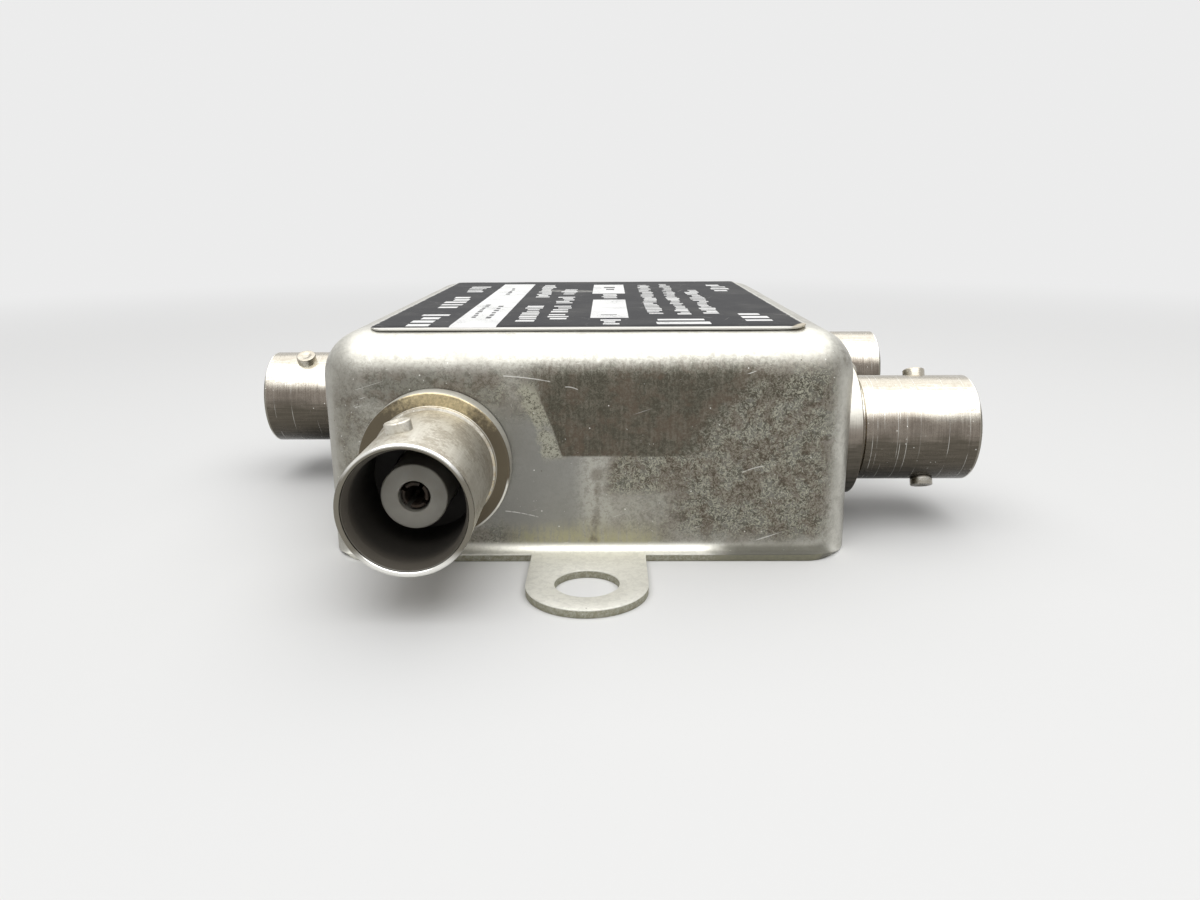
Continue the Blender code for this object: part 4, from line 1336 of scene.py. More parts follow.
PLAIN_FINISHES = (
    Moulded("plated_cover", (0.42, 0.41, 0.38), (0.27, 0.255, 0.225), 0.42, 1.0, 3.0, 0.008),
    # The dielectric's grey tone is partly its aged colour and partly painted shade from inside the
    # bore.
    Moulded("white_dielectric", (0.34, 0.325, 0.285), (0.26, 0.245, 0.205), 0.45, 0.0, 1.2, 0.004, 0.3),
    # The contact's near-black tone is painted shade for the deep hole it sits in.
    Moulded("gilt_contact", (0.050, 0.036, 0.026), (0.022, 0.018, 0.014), 0.55, 0.7, 9.0, 0.004),
    Moulded("zinc_hardware", (0.46, 0.47, 0.46), (0.33, 0.33, 0.31), 0.36, 1.0, 4.0, 0.006),
    Moulded("board_green", (0.05, 0.15, 0.07), (0.035, 0.105, 0.05), 0.4, 0.0, 5.0, 0.01),
    Moulded("ferrite_grey", (0.10, 0.10, 0.105), (0.06, 0.06, 0.062), 0.6, 0.0, 12.0, 0.02),
    Moulded("enamelled_copper", (0.58, 0.24, 0.10), (0.40, 0.13, 0.05), 0.28, 0.9, 8.0, 0.002),
    Moulded("ceramic_tan", (0.52, 0.33, 0.17), (0.44, 0.26, 0.12), 0.5, 0.0, 9.0, 0.01),
    Moulded("trimmer_white", (0.72, 0.71, 0.66), (0.60, 0.58, 0.53), 0.35, 0.0, 6.0, 0.004),
    Moulded("resistor_brown", (0.30, 0.16, 0.08), (0.22, 0.11, 0.055), 0.45, 0.0, 8.0, 0.006),
)


def finishes() -> dict[str, bpy.types.Material]:
    """Make every finish.

    Returns:
        The materials by the record's material slot.
    """
    main_finishes = {
        "plated_can": PlatedSheet().make(),
        "plated_jack": TurnedNickel().make(),
        "black_label": BlackFoil().make(),
    }
    return main_finishes | {finish.name: finish.make() for finish in PLAIN_FINISHES}


@dataclass
class DrawnCan:
    """The can that is drawn from one sheet: its skin, flared rim, tabs and holes."""

    width: float = 0.0440
    depth: float = 0.0524
    height: float = 0.0188
    corner: float = 0.0040
    sheet: float = 0.00065
    flare: float = 0.0009
    tab_half: float = 0.0047
    tab_middle: float = 0.0329
    tab_hole: float = 0.0025
    tab_steps: int = 28
    hole_steps: int = 48
    across: int = 74
    along: int = 88
    up: int = 40
    crowding: float = 1.7
    dents: float = 0.00012
    dent_scale: float = 95.0
    dents_from: float = 0.0016
    dents_full: float = 0.0040
    edge_round: float = 0.00007
    sharp_from: float = 50.0
    cutter_out: float = 0.0040
    cutter_in: float = 0.0030

    def skin_form(self) -> Form:
        """Write the tree that draws the can's skin out of a box of small cells.

        Returns:
            The tree.
        """
        sizes = ("Width", "Depth", "Height", "Corner", "Sheet", "Flare", "Dents")
        counts = ("Across", "Along", "Up")
        kinds = {**dict.fromkeys(sizes, float), **dict.fromkeys(counts, int)}
        form = Form("can_skin", {**kinds, "Material": bpy.types.Material})
        width, depth, height, corner, sheet, flare, dents = map(form.value, sizes)

        block = form.node("GeometryNodeMeshCube", inputs={
            "Size": form.vector(width, depth, height - sheet),
            "Vertices X": form.value("Across"),
            "Vertices Y": form.value("Along"),
            "Vertices Z": form.value("Up"),
        })
        normal = form.axes(form.node("GeometryNodeInputNormal").outputs[0])[2]
        open_box = form.node("GeometryNodeDeleteGeometry", {"domain": "FACE"}, {
            "Geometry": block.outputs["Mesh"],
            "Selection": form.math("LESS_THAN", normal, -0.5),
        })

        # The cells crowd towards the rim, where the sheet bends most tightly.
        x, y, level = form.here()
        share_up = level / (height - sheet) + 0.5
        z = (share_up.at_least(0.0) ** self.crowding) * (height - sheet) + sheet
        # What lies past the inner box is drawn in to the corner radius.
        inner_x, inner_y, inner_z = width / 2.0 - corner, depth / 2.0 - corner, height - corner
        near_x = x.at_least(inner_x * -1.0).at_most(inner_x)
        near_y = y.at_least(inner_y * -1.0).at_most(inner_y)
        near_z = z.at_most(inner_z)
        out_x, out_y, out_z = x - near_x, y - near_y, z - near_z
        level_reach = (out_x * out_x + out_y * out_y) ** 0.5
        reach = (level_reach * level_reach + out_z * out_z) ** 0.5
        shrink = corner / reach.at_least(TINY)
        face_x, face_y = out_x / level_reach.at_least(TINY), out_y / level_reach.at_least(TINY)

        # The rim flares outwards at the front and the rear, and runs straight down at the sides.
        lip = (1.0 - (z - sheet) / flare).at_least(0.0)
        front_share = face_y ** 4.0
        bend = (1.0 - (1.0 - lip * lip) ** 0.5) * flare * front_share
        drop = lip * sheet * (1.0 - front_share)

        # Shallow dents start above the rim.
        wave = form.cloud(form.vector(x, y, z), self.dent_scale, 2.0, 0.5) * dents
        inward = wave * z.ramp(self.dents_from, self.dents_full) / corner

        new_x = near_x + out_x * shrink * (1.0 - inward) + face_x * bend
        new_y = near_y + out_y * shrink * (1.0 - inward) + face_y * bend
        new_z = near_z + out_z * shrink * (1.0 - inward) - drop
        form.end(form.moved(open_box.outputs[0], form.vector(new_x, new_y, new_z)))
        return form

    def draw_tabs(self, work: bmesh.types.BMesh) -> None:
        """Draw a rounded tab with its hole out of the rim, at the front and at the rear.

        Args:
            work: the skin, which takes the tabs.
        """
        for place in (-self.tab_half, self.tab_half):
            bmesh.ops.bisect_plane(
                work, geom=work.verts[:] + work.edges[:] + work.faces[:], dist=TINY,
                plane_co=(place, 0, 0), plane_no=(1, 0, 0),
            )
        for side in (-1, 1):
            lip = [
                edge for edge in work.edges
                if edge.is_boundary
                and all(abs(v.co.x) < self.tab_half + TINY and v.co.y * side > 0 for v in edge.verts)
            ]
            ends = sorted({v for edge in lip for v in edge.verts}, key=lambda v: v.co.x)
            turn = [math.pi * step / self.tab_steps for step in range(self.tab_steps + 1)]
            arc = [
                work.verts.new((
                    self.tab_half * math.cos(angle),
                    side * (self.tab_middle + self.tab_half * math.sin(angle)),
                    ends[0].co.z,
                ))
                for angle in turn
            ]
            rim = [ends[-1], *arc, ends[0]]
            outline = [work.edges.new(pair) for pair in zip(rim, rim[1:])]
            hole = bmesh.ops.create_circle(
                work, segments=self.hole_steps, radius=self.tab_hole,
                matrix=Matrix.Translation((0, side * self.tab_middle, ends[0].co.z)),
            )["verts"]
            ring = {edge for vertex in hole for edge in vertex.link_edges}
            bmesh.ops.triangle_fill(work, use_beauty=True, edges=lip + outline + list(ring))

    def build(self, port_holes: Sequence[Matrix], hole_radius: float) -> bpy.types.Object:
        """Build the can.

        Args:
            port_holes: place of each jack, +Z straight out of the wall.
            hole_radius: radius of the hole for a jack.

        Returns:
            The can without a finish.
        """
        skin = self.skin_form().grow("can_skin", {
            "Width": self.width, "Depth": self.depth, "Height": self.height,
            "Corner": self.corner, "Sheet": self.sheet, "Flare": self.flare,
            "Across": self.across, "Along": self.along, "Up": self.up,
            "Dents": self.dents,
        })
        work = bmesh.new()
        work.from_mesh(skin)
        bmesh.ops.remove_doubles(work, verts=work.verts[:], dist=TINY)
        self.draw_tabs(work)
        bmesh.ops.recalc_face_normals(work, faces=work.faces[:])
        top = max(work.faces, key=lambda face: face.calc_center_median().z)
        if top.normal.z < 0:
            bmesh.ops.reverse_faces(work, faces=work.faces[:])
        work.to_mesh(skin)
        work.free()

        can = linked("drawn_can", skin)
        wall = can.modifiers.new("sheet", "SOLIDIFY")
        wall.thickness = self.sheet
        wall.offset = -1.0
        wall.use_even_offset = True
        bake(can)
        for vertex in can.data.vertices:
            vertex.co.z = max(vertex.co.z, 0.0)
        softened = can.modifiers.new("edges", "BEVEL")
        softened.width = self.edge_round
        softened.segments = 2
        softened.limit_method = "ANGLE"
        softened.angle_limit = math.radians(self.sharp_from)
        bake(can)
        outline = [
            Vector((0, self.cutter_out)),
            Vector((hole_radius, self.cutter_out)),
            Vector((hole_radius, -self.cutter_in)),
            Vector((0, -self.cutter_in)),
        ]
        for place in port_holes:
            cutter = linked("hole", turned_mesh("hole", outline, self.hole_steps, closed=False))
            cutter.matrix_world = place
            cut(can, cutter)
        shade(can.data, self.sharp_from)
        return can


class Wall(Enum):
    """The four walls of the can, by the angle that each one faces."""

    RIGHT = 0
    REAR = 90
    LEFT = 180
    FRONT = 270


@dataclass(frozen=True)
class Port:
    """One jack's wall, its place along that wall and how far its lugs are turned."""

    name: str
    wall: Wall
    along: float
    lug_turn: float


@dataclass
class JackSet:
    """Five like bayonet jacks: shell with two lugs, stepped insulator and socket contact."""

    PLACE = "jack_place"
    TURN = "turn"

    can_half_width: float = 0.0220
    can_half_depth: float = 0.0262
    axis_height: float = 0.0084
    seat: float = 0.0001
    reach: float = 0.0125
    barrel: float = 0.0048
    collar: float = 0.00495
    bore: float = 0.0041
    bore_depth: float = 0.0084
    mouth_bore: float = 0.00442
    lead_in: float = 0.0011
    shoulder: float = 0.0014
    flange: float = 0.00605
    flange_sheet: float = 0.00165
    collar_top: float = 0.00028
    groove_from: float = 0.00036
    groove_to: float = 0.0005
    groove: float = 0.00012
    barrel_from: float = 0.0006
    bush: float = 0.0047
    bush_reach: float = 0.0055
    thread_from: float = 0.0009
    thread_clear: float = 0.0012
    thread_pitch: float = 0.00045
    thread_depth: float = 0.00012
    lug_radius: float = 0.00098
    lug_root: float = 0.0003
    lug_half_span: float = 0.0055
    lug_setback: float = 0.0041
    lug_dish: tuple[tuple[float, float], ...] = ((0.55, 0.0), (0.4, 0.0001), (0.0, 0.00012))
    nose: float = 0.00242
    nose_setback: float = 0.0034
    heel: float = 0.0031
    heel_setback: float = 0.0004
    contact: float = 0.0010
    contact_setback: float = 0.0003
    socket: float = 0.00066
    socket_depth: float = 0.0048
    socket_cone: float = 0.0003
    socket_flare: float = 0.0001
    flare_depth: float = 0.00018
    slot_width: float = 0.0003
    slot_depth: float = 0.0030
    tail: float = 0.0006
    tail_reach: float = 0.0032
    fit: float = 0.00015
    shell_steps: int = 96
    lug_steps: int = 40
    insulator_steps: int = 72
    contact_steps: int = 48
    sharp_from: float = 35.0
    ports: tuple[Port, ...] = (
        Port("front", Wall.FRONT, -0.0122, 11.0),
        Port("left", Wall.LEFT, 0.0, -27.0),
        Port("rear", Wall.REAR, -0.0122, 18.0),
        Port("right_front", Wall.RIGHT, -0.0150, -26.0),
        Port("right_rear", Wall.RIGHT, 0.0150, 80.0),
    )

    def place(self, port: Port) -> Matrix:
        """Find where a port is.

        Args:
            port: the port.

        Returns:
            Its place: the origin on the wall, +Z straight out of it.
        """
        facing = Matrix.Rotation(math.radians(port.wall.value), 4, "Z")
        outward = facing @ Vector((1, 0, 0))
        on_side = port.wall in (Wall.LEFT, Wall.RIGHT)
        reach = self.can_half_width if on_side else self.can_half_depth
        along = Vector((0, 1, 0)) if on_side else Vector((1, 0, 0))
        origin = outward * reach + along * port.along + Vector((0, 0, self.axis_height))
        tip = Matrix.Rotation(math.radians(90.0), 4, "Y")
        spin = Matrix.Rotation(math.radians(port.lug_turn), 4, "Z")
        return Matrix.Translation(origin) @ facing @ tip @ spin

    def port_form(self) -> Form:
        """Write the tree that sets a copy of one piece at each port.

        Returns:
            The tree.
        """
        form = Form("jack_ports", {"Piece": bpy.types.Object, "Material": bpy.types.Material})
        piece = form.node("GeometryNodeObjectInfo", inputs={"Object": form.value("Piece")})
        marked = form.node(
            "GeometryNodeStoreNamedAttribute",
            {"data_type": "FLOAT_VECTOR", "domain": "POINT"},
            {
                "Geometry": piece.outputs["Geometry"],
                "Name": self.PLACE,
                "Value": form.node("GeometryNodeInputPosition").outputs[0],
            },
        )
        kind = {"data_type": "FLOAT_VECTOR"}
        turn = form.node("GeometryNodeInputNamedAttribute", kind, {"Name": self.TURN})
        rotation = form.node("FunctionNodeEulerToRotation", inputs={0: turn.outputs[0]})
        copies = form.node("GeometryNodeInstanceOnPoints", inputs={
            "Points": form.value("Geometry"),
            "Instance": marked.outputs[0],
            "Rotation": rotation.outputs[0],
        })
        form.end(copies.outputs[0])
        return form

    def port_points(self) -> bpy.types.Mesh:
        """Make a point at each port that carries the port's turn.

        Returns:
            A mesh of five points.
        """
        places = [self.place(port) for port in self.ports]
        mesh = bpy.data.meshes.new("port_points")
        mesh.from_pydata([place.translation for place in places], [], [])
        turn = mesh.attributes.new(self.TURN, "FLOAT_VECTOR", "POINT")
        for item, place in zip(turn.data, places):
            item.vector = place.to_euler()
        return mesh

    def thread(self) -> list[Corner]:
        """Work out the ridges of the bush, from the flange to the bush's end.

        Returns:
            The ridges' corners.
        """
        count = int((self.bush_reach - self.thread_clear) / self.thread_pitch)
        ridges = []
        for ridge in range(count):
            top = -self.thread_from - ridge * self.thread_pitch
            ridges.append(Corner(self.bush, top))
            ridges.append(Corner(self.bush - self.thread_depth, top - self.thread_pitch / 2))
        return ridges

    def shell(self) -> bpy.types.Object:
        """Build one shell in its own frame, lugs included.

        Returns:
            The shell.
        """
        mouth, floor = self.reach, self.reach - self.bore_depth
        front = self.seat + self.flange_sheet
        shoulder = floor - self.shoulder
        nose_bore, heel_bore = self.nose + self.fit, self.heel + self.fit
        corners = [
            Corner(self.barrel, mouth, 0.00018),
            Corner(self.barrel, front + self.barrel_from, 0.00005),
            Corner(self.barrel - self.groove, front + self.groove_to, 0.00004),
            Corner(self.barrel - self.groove, front + self.groove_from, 0.00004),
            Corner(self.collar, front + self.collar_top, 0.00006),
            Corner(self.collar, front, 0.00008),
            Corner(self.flange, front, 0.00014),
            Corner(self.flange, self.seat, 0.00006),
            Corner(self.bush, self.seat),
            *self.thread(),
            Corner(self.bush - self.thread_depth, -self.bush_reach, 0.00005),
            Corner(heel_bore, -self.bush_reach, 0.00005),
            Corner(heel_bore, shoulder),
            Corner(nose_bore, shoulder),
            Corner(nose_bore, floor, 0.00005),
            Corner(self.bore, floor),
            Corner(self.bore, mouth - self.lead_in, 0.0003),
            Corner(self.mouth_bore, mouth, 0.00017),
        ]
        shell = linked("shell", turned_mesh("shell", section(corners, 4), self.shell_steps))
        root, tip = self.bore + self.lug_root, self.lug_half_span
        lug = section([
            Corner(0.0, root),
            Corner(self.lug_radius, root),
            Corner(self.lug_radius, tip, 0.00012),
            *(Corner(self.lug_radius * share, tip - sunk) for share, sunk in self.lug_dish),
        ], 3)
        for side in (-90.0, 90.0):
            pin = linked("lug", turned_mesh("lug", lug, self.lug_steps, closed=False))
            aim = Matrix.Rotation(math.radians(side), 4, "Y")
            pin.matrix_world = Matrix.Translation((0, 0, self.reach - self.lug_setback)) @ aim
            cut(shell, pin, "UNION")
        shade(shell.data, self.sharp_from)
        return shell

    def insulator(self) -> bpy.types.Object:
        """Build one stepped insulator in its own frame.

        Returns:
            The insulator.
        """
        front = self.reach - self.nose_setback
        step = self.reach - self.bore_depth - self.shoulder - self.fit
        back = self.heel_setback - self.bush_reach
        hole = self.contact + self.fit
        corners = [
            Corner(self.nose, front, 0.00012),
            Corner(self.nose, step, 0.00005),
            Corner(self.heel, step, 0.0001),
            Corner(self.heel, back, 0.0001),
            Corner(hole, back, 0.00005),
            Corner(hole, front, 0.0001),
        ]
        mesh = turned_mesh("insulator", section(corners, 3), self.insulator_steps)
        shade(mesh, self.sharp_from)
        return linked("insulator", mesh)

    def socket_contact(self) -> bpy.types.Object:
        """Build one slotted centre contact in its own frame.

        Returns:
            The contact.
        """
        front = self.reach - self.nose_setback - self.contact_setback
        back = self.heel_setback - self.bush_reach
        end = -self.bush_reach - self.tail_reach
        corners = [
            Corner(0.0, front - self.socket_depth - self.socket_cone),
            Corner(self.socket, front - self.socket_depth),
            Corner(self.socket, front - self.flare_depth, 0.0001),
            Corner(self.socket + self.socket_flare, front, 0.00004),
            Corner(self.contact, front, 0.00012),
            Corner(self.contact, back, 0.00008),
            Corner(self.tail, back, 0.00005),
            Corner(self.tail, end, 0.0002),
            Corner(0.0, end),
        ]
        mesh = turned_mesh("contact", section(corners, 3), self.contact_steps, closed=False)
        contact = linked("contact", mesh)
        for turn in (0.0, 90.0):
            slot = bmesh.new()
            size = Matrix.Diagonal((4 * self.contact, self.slot_width, 2 * self.slot_depth, 1.0))
            bmesh.ops.create_cube(slot, size=1.0, matrix=Matrix.Translation((0, 0, front)) @ size)
            tool = linked("slot", mesh_of(slot, "slot"))
            tool.matrix_world = Matrix.Rotation(math.radians(45.0 + turn), 4, "Z")
            cut(contact, tool)
        shade(contact.data, self.sharp_from)
        return contact

    def build(self, looks: Mapping[str, bpy.types.Material]) -> None:
        """Build the five shells, insulators and contacts and place them in the frame.

        Args:
            looks: the finishes by slot.
        """
        form = self.port_form()
        kinds = {
            "shell": (self.shell, "plated_jack"),
            "insulator": (self.insulator, "white_dielectric"),
            "contact": (self.socket_contact, "gilt_contact"),
        }
        for kind, (make, slot) in kinds.items():
            single = make()
            values = {"Piece": single, "Material": looks[slot]}
            mesh = form.grow(f"jack_{kind}s", values, self.port_points())
            bpy.data.objects.remove(single)
            piece = linked(f"jack_{kind}s", mesh)
            settle(piece, [f"{port.name}_jack_{kind}" for port in self.ports])


class Block(Enum):
    """What a printed block on the label looks like."""

    FIELD = "one plain field"
    TYPE = "a row of short strokes"


@dataclass(frozen=True)
class Print:
    """One printed block on the label, by its edges in millimetres."""

    kind: Block
    left: float
    right: float
    front: float
    rear: float
    pitch: float = 0.62
    seed: int = 1
    dark: bool = False


@dataclass
class TopLabel:
    """The foil label on the can's top: bent over the front edge, its right corner lifted."""

    half_width: float = 0.0179
    front: float = -0.0234
    rear: float = 0.0217
    corner: float = 0.0011
    under: float = 0.01881
    sheet: float = 0.00012
    bend_from: float = -0.0222
    bend_radius: float = 0.00405
    lift: float = 0.00016
    lift_slant: float = 0.8
    lift_reach: float = 0.0026
    ripple: float = 0.000012
    ripple_scale: float = 260.0
    ink: float = 0.000012
    stroke_breadth: tuple[float, float] = (0.55, 1.0)
    stroke_height: tuple[float, float] = (0.42, 0.72)
    stroke_cells: int = 4
    field_cell: float = 0.0004
    cells_across: int = 72
    cells_along: int = 90
    blocks: tuple[Print, ...] = (
        Print(Block.FIELD, -11.35, -7.5, -23.1, 18.0),
        Print(Block.TYPE, -6.3, -4.6, -20.2, -7.3, 1.5, 3),
        Print(Block.TYPE, -6.3, -4.6, 0.8, 17.0, 1.5, 4),
        Print(Block.TYPE, -3.7, -1.85, -18.8, -14.3, 1.5, 5),
        Print(Block.TYPE, -3.7, -1.85, -13.5, -7.2, 1.5, 6),
        Print(Block.TYPE, -3.7, -1.85, -5.5, 1.8, 1.5, 7),
        Print(Block.TYPE, -3.7, -1.85, 4.1, 11.0, 1.5, 8),
        Print(Block.TYPE, 1.0, 2.75, -22.4, -18.6, 1.3, 9),
        Print(Block.FIELD, 0.1, 3.45, -17.6, -1.7),
        Print(Block.TYPE, 0.95, 2.7, -0.4, 4.5, 1.2, 10),
        Print(Block.FIELD, -0.1, 3.55, 5.1, 16.8),
        Print(Block.TYPE, 5.2, 6.75, -15.0, 16.5, 1.25, 11),
        Print(Block.TYPE, 7.8, 9.2, -15.5, 17.6, 1.25, 12),
        Print(Block.TYPE, 10.3, 11.9, -14.9, 9.3, 1.25, 13),
        Print(Block.FIELD, 5.7, 10.2, -22.1, -20.6),
        Print(Block.FIELD, 5.9, 9.9, -19.6, -18.6),
        Print(Block.TYPE, 13.3, 15.7, -20.8, -14.2, 1.9, 14),
        Print(Block.TYPE, 13.6, 16.0, 6.9, 16.5, 2.2, 15),
        Print(Block.TYPE, -15.2, -12.6, -23.2, -13.9, 2.1, 16),
        Print(Block.TYPE, -15.2, -12.6, -9.7, 2.3, 2.3, 17),
        Print(Block.TYPE, -15.2, -12.6, 7.1, 15.2, 2.0, 18),
        Print(Block.TYPE, -10.5, -10.0, -17.5, -6.0, 1.5, 19, dark=True),
        Print(Block.TYPE, -9.1, -8.6, -18.0, -7.0, 1.7, 20, dark=True),
        Print(Block.TYPE, -9.8, -9.3, 4.0, 12.5, 1.7, 21, dark=True),
        Print(Block.TYPE, 0.9, 2.9, -15.6, -15.0, 0.6, 22, dark=True),
        Print(Block.TYPE, 1.1, 2.5, 9.0, 14.0, 2.5, 23, dark=True),
    )

    def surface_height(self, x: float, y: float) -> float:
        """Find how high the label's underside lies.

        Args:
            x: place across the can.
            y: place along the can.

        Returns:
            The height.
        """
        past = max(self.bend_from - y, 0.0)
        height = self.under - (self.bend_radius - math.sqrt(self.bend_radius**2 - past**2))
        from_corner = (self.half_width - x) + self.lift_slant * (y - self.front)
        lifted = max(1.0 - from_corner / self.lift_reach, 0.0)
        return height + self.lift * lifted * lifted

    def foil(self, material: bpy.types.Material) -> bpy.types.Object:
        """Build the foil as a fine sheet with rounded corners.

        Args:
            material: the foil's finish.

        Returns:
            The foil.
        """
        work = bmesh.new()
        depth = self.rear - self.front
        middle = (self.rear + self.front) / 2
        size = Matrix.Diagonal((self.half_width, depth / 2, 1.0, 1.0))
        bmesh.ops.create_grid(
            work, x_segments=self.cells_across, y_segments=self.cells_along, size=1.0, matrix=size
        )
        for vertex in work.verts:
            inner = Vector((self.half_width - self.corner, depth / 2 - self.corner))
            near_x = max(-inner.x, min(inner.x, vertex.co.x))
            near = Vector((near_x, max(-inner.y, min(inner.y, vertex.co.y))))
            past = vertex.co.xy - near
            if past.length > TINY:
                past *= max(abs(past.x), abs(past.y)) / past.length
            x, y = near + past + Vector((0.0, middle))
            ripple = noise.noise(Vector((x, y, 0.3)) * self.ripple_scale) * self.ripple
            vertex.co = (x, y, self.surface_height(x, y) + ripple)
        foil = linked("label_foil", mesh_of(work, "label_foil"), material)
        wall = foil.modifiers.new("sheet", "SOLIDIFY")
        wall.thickness = self.sheet
        wall.offset = 1.0
        bake(foil)
        shade(foil.data, 50.0)
        return foil

    def type_form(self) -> Form:
        """Write the tree that sets printed strokes in a row.

        Returns:
            The tree.
        """
        sizes = ("Left", "Front", "Breadth", "Length", "Thickness")
        kinds = {**dict.fromkeys(sizes, float), "Count": int, "Cells": int, "Seed": int, "Solid": float}
        form = Form("printed_row", {**kinds, "Material": bpy.types.Material})
        left, front, breadth, length, thickness = map(form.value, sizes)
        count, seed, solid = form.value("Count"), form.value("Seed"), form.value("Solid")
        pitch = length / count
        row = form.node("GeometryNodeMeshLine", {"mode": "OFFSET"}, {
            "Count": count,
            "Start Location": form.vector(left + breadth / 2.0, front + pitch / 2.0, 0.0),
            "Offset": form.vector(0.0, pitch, 0.0),
        })
        wide = self.chance(form, seed, *self.stroke_breadth)
        tall = self.chance(form, seed + 1, *self.stroke_height)
        aside = self.chance(form, seed + 2, -1.0, 1.0)
        wide = wide.at_least(solid)
        stroke = form.node("GeometryNodeMeshCube", inputs={
            "Size": form.vector(breadth, pitch, thickness),
            "Vertices Y": form.value("Cells"),
        })
        slide = form.node("GeometryNodeSetPosition", inputs={
            "Geometry": row.outputs[0],
            "Offset": form.vector(aside * (1.0 - wide) * breadth * 0.5, 0.0, 0.0),
        })
        strokes = form.node("GeometryNodeInstanceOnPoints", inputs={
            "Points": slide.outputs[0],
            "Instance": stroke.outputs["Mesh"],
            "Scale": form.vector(wide, tall.at_least(solid), 1.0),
        })
        form.end(strokes.outputs[0])
        return form

    @staticmethod
    def chance(form: Form, seed: Operand, low: float, high: float) -> Signal:
        """Return a random value for each point between two limits."""
        made = form.node("FunctionNodeRandomValue", {"data_type": "FLOAT"}, {2: low, 3: high, 8: seed})
        return Signal(form, made.outputs[1])

    def printing(self, name: str, dark: bool, material: bpy.types.Material) -> bpy.types.Object:
        """Return the printed blocks of one ink as one thin layer on the foil.

        Args:
            name: name of the piece.
            dark: whether to take the dark blocks or the white ones.
            material: the ink.

        Returns:
            The printed layer.
        """
        form = self.type_form()
        work = bmesh.new()
        for block in self.blocks:
            if block.dark != dark:
                continue
            plain = block.kind is Block.FIELD
            length = (block.rear - block.front) * MILLIMETRE
            mesh = form.grow("print", {
                "Left": block.left * MILLIMETRE,
                "Front": block.front * MILLIMETRE,
                "Breadth": (block.right - block.left) * MILLIMETRE,
                "Length": length,
                "Thickness": self.ink,
                "Count": 1 if plain else round(length / (block.pitch * MILLIMETRE)),
                "Cells": 2 + int(length / self.field_cell) if plain else self.stroke_cells,
                "Seed": block.seed,
                "Solid": float(plain),
                "Material": material,
            })
            work.from_mesh(mesh)
            bpy.data.meshes.remove(mesh)
        raised = self.sheet + self.ink * (1.5 if dark else 0.5)
        for vertex in work.verts:
            vertex.co.z += self.surface_height(vertex.co.x, vertex.co.y) + raised
        return linked(name, mesh_of(work, name), material)

    def build(self, looks: Mapping[str, bpy.types.Material]) -> None:
        """Build the foil and its print and place them in the frame.

        Args:
            looks: the finishes by slot.
        """
        settle(self.foil(looks["black_label"]), ["label"])
        white = Ink("white_ink", (0.90, 0.90, 0.885), (0.10, 0.10, 0.10), 0.0).make()
        black = Ink("black_ink", (0.04, 0.04, 0.04), (0.5, 0.5, 0.5), 0.02).make()
        settle(self.printing("label_print_white", False, white), [])
        settle(self.printing("label_print_dark", True, black), [])


@dataclass(frozen=True)
class Softbox:
    """A soft lamp that faces down: its place, its width and depth, and its power in watts."""

    name: str
    place: tuple[float, float, float]
    size: tuple[float, float]
    power: float

    def hang(self) -> None:
        """Add the lamp to the scene."""
        data = bpy.data.lights.new(self.name, "AREA")
        data.shape = "RECTANGLE"
        data.size, data.size_y = self.size
        data.energy = self.power
        lamp = bpy.data.objects.new(self.name, data)
        bpy.context.scene.collection.objects.link(lamp)
        lamp.location = self.place


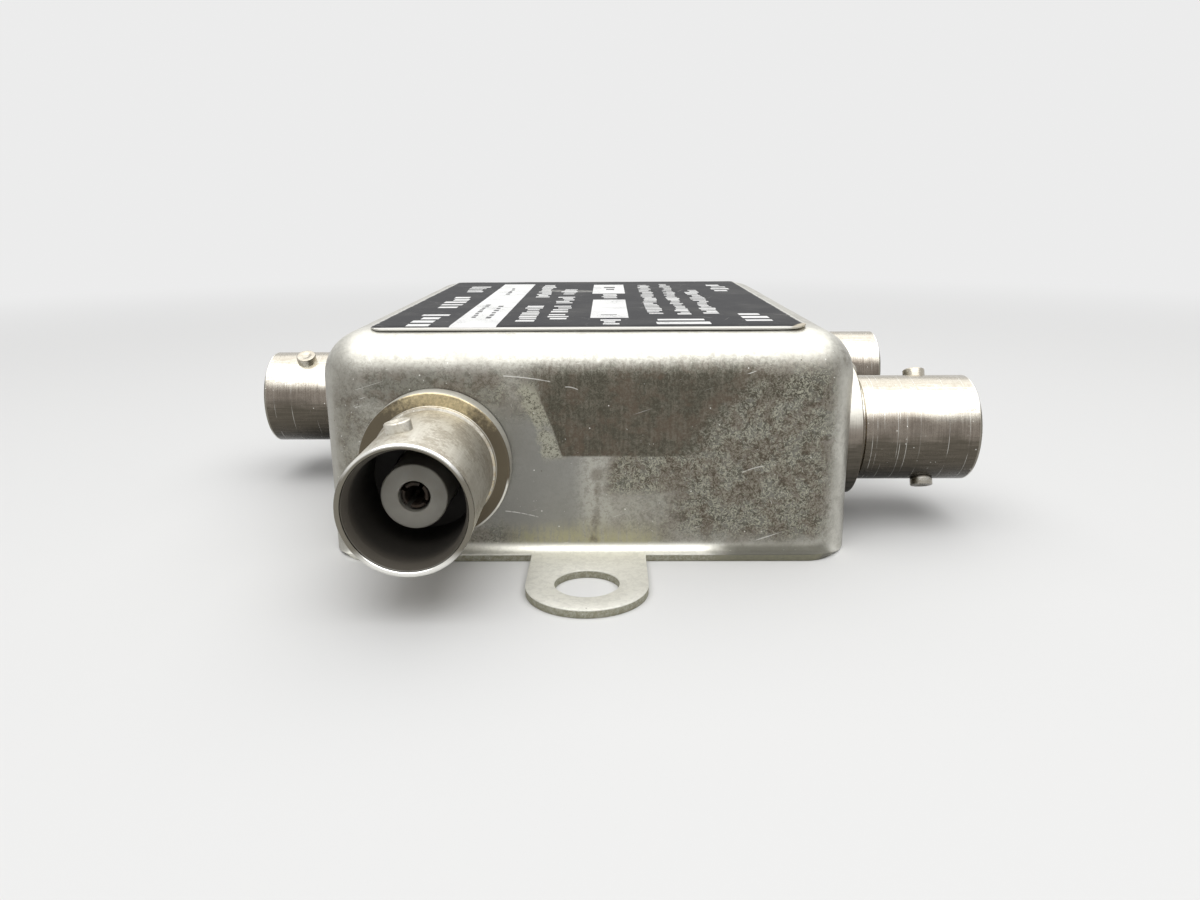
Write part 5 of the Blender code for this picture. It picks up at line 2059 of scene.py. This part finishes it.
@dataclass(frozen=True)
class Studio:
    """A pale floor that fades into a white surround, under a soft lamp and a weaker one behind it."""

    floor_radius: float = 3.0
    floor_steps: int = 96
    floor_drop: float = 0.00002
    floor_colour: Colour = (0.76, 0.76, 0.755)
    fade_from: float = 0.09
    fade_to: float = 0.30
    surround: float = 0.84
    ambient: float = 0.13
    softboxes: tuple[Softbox, ...] = (
        Softbox("front_softbox", (0.02, -0.22, 0.34), (0.62, 0.52), 2.0),
        Softbox("rear_softbox", (0.02, 0.25, 0.34), (0.62, 0.42), 1.0),
    )

    @staticmethod
    def seen(tree: Tree) -> Signal:
        """Tell the rays that show the surround from those that only bring light.

        Args:
            tree: tree of the floor's material or of the world.

        Returns:
            1 for camera, glossy and transmission rays.
        """
        path = tree.node("ShaderNodeLightPath")
        names = ("Is Camera Ray", "Is Glossy Ray", "Is Transmission Ray")
        return reduce(Signal.at_least, [Signal(tree, path.outputs[name]) for name in names])

    def build_floor(self) -> None:
        """Build the floor, which keeps the shadow near the object and turns white far away."""
        work = bmesh.new()
        bmesh.ops.create_circle(
            work, cap_ends=True, segments=self.floor_steps, radius=self.floor_radius
        )
        mesh = mesh_of(work, "studio_floor")
        shader = Shader("studio_floor")
        x, y, _ = shader.axes(shader.node("ShaderNodeTexCoord").outputs["Object"])
        far = ((x * x + y * y) ** 0.5).ramp(self.fade_from, self.fade_to)
        shader.dress(self.floor_colour, 0.9, 0.0, None, {"Specular IOR Level": 0.1})
        glow = shader.node("ShaderNodeEmission", inputs={"Color": WHITE, "Strength": self.surround})
        blend = shader.node("ShaderNodeMixShader", inputs={
            0: far * self.seen(shader), 1: shader.surface.outputs[0], 2: glow.outputs[0],
        })
        output = next(node for node in shader.nodes.nodes if node.type == "OUTPUT_MATERIAL")
        shader.feed(output.inputs["Surface"], blend.outputs[0])
        floor = linked("studio_floor", mesh, shader.material)
        floor.location.z = -self.floor_drop

    def build_world(self) -> None:
        """Make the surround: white to the camera and to gloss, a plain ambient level to the rest."""
        world = bpy.data.worlds.new("studio_surround")
        bpy.context.scene.world = world
        world.use_nodes = True
        tree = Tree(world.node_tree)
        tree.nodes.nodes.clear()
        strength = self.seen(tree) * (self.surround - self.ambient) + self.ambient
        sky = tree.node("ShaderNodeBackground", inputs={"Color": WHITE, "Strength": strength})
        tree.node("ShaderNodeOutputWorld", inputs={"Surface": sky.outputs[0]})

    def build(self) -> None:
        """Build floor, surround and lamps."""
        self.build_floor()
        self.build_world()
        for softbox in self.softboxes:
            softbox.hang()


@dataclass(frozen=True)
class Viewpoint:
    """The photograph's camera: its place and the three angles that aim it."""

    place: tuple[float, float, float] = (0.001695, -0.09482, 0.02816)
    pitch_down: float = 15.352
    yaw: float = -0.597
    roll: float = -0.321
    focal_pixels: float = 880.0
    image_width: float = 1200.0
    sensor_width: float = 36.0
    near: float = 0.001
    far: float = 20.0

    def build(self) -> None:
        """Add the camera and make it the scene's own."""
        data = bpy.data.cameras.new("viewpoint")
        data.sensor_width = self.sensor_width
        data.lens = self.focal_pixels / self.image_width * self.sensor_width
        data.clip_start = self.near
        data.clip_end = self.far
        camera = bpy.data.objects.new("viewpoint", data)
        bpy.context.scene.collection.objects.link(camera)
        level = Matrix.Rotation(math.radians(90.0 - self.pitch_down), 4, "X")
        heading = Matrix.Rotation(math.radians(-self.yaw), 4, "Z")
        twist = Matrix.Rotation(math.radians(self.roll), 4, "Z")
        camera.matrix_world = Matrix.Translation(self.place) @ heading @ level @ twist
        bpy.context.scene.camera = camera


def dress_packed_nodes(looks: Mapping[str, bpy.types.Material], packed: Mapping[str, object]) -> None:
    """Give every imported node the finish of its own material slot.

    Args:
        looks: the finishes by slot.
        packed: what the frame holds.
    """
    slots = set()
    for node in packed["nodes"].values():
        slot = node.data.materials[0].name
        node.data.materials[0] = looks[slot]
        slots.add(slot)
    log.info("dressed %d packed nodes in %d finishes", len(packed["nodes"]), len(slots))


def main() -> None:
    """Build the dressed coupler, the studio and the camera."""
    logging.basicConfig(level=logging.INFO, format="%(name)s: %(message)s")
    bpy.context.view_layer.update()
    bpy.context.scene.view_settings.view_transform = "Standard"
    Viewpoint().build()
    looks = finishes()
    dress_packed_nodes(looks, frame)
    jacks = JackSet()
    can = DrawnCan().build([jacks.place(port) for port in jacks.ports], jacks.bush + jacks.fit)
    coat(can.data, looks["plated_can"])
    settle(can, ["case"])
    jacks.build(looks)
    TopLabel().build(looks)
    Studio().build()


if __name__ == "__main__":
    main()
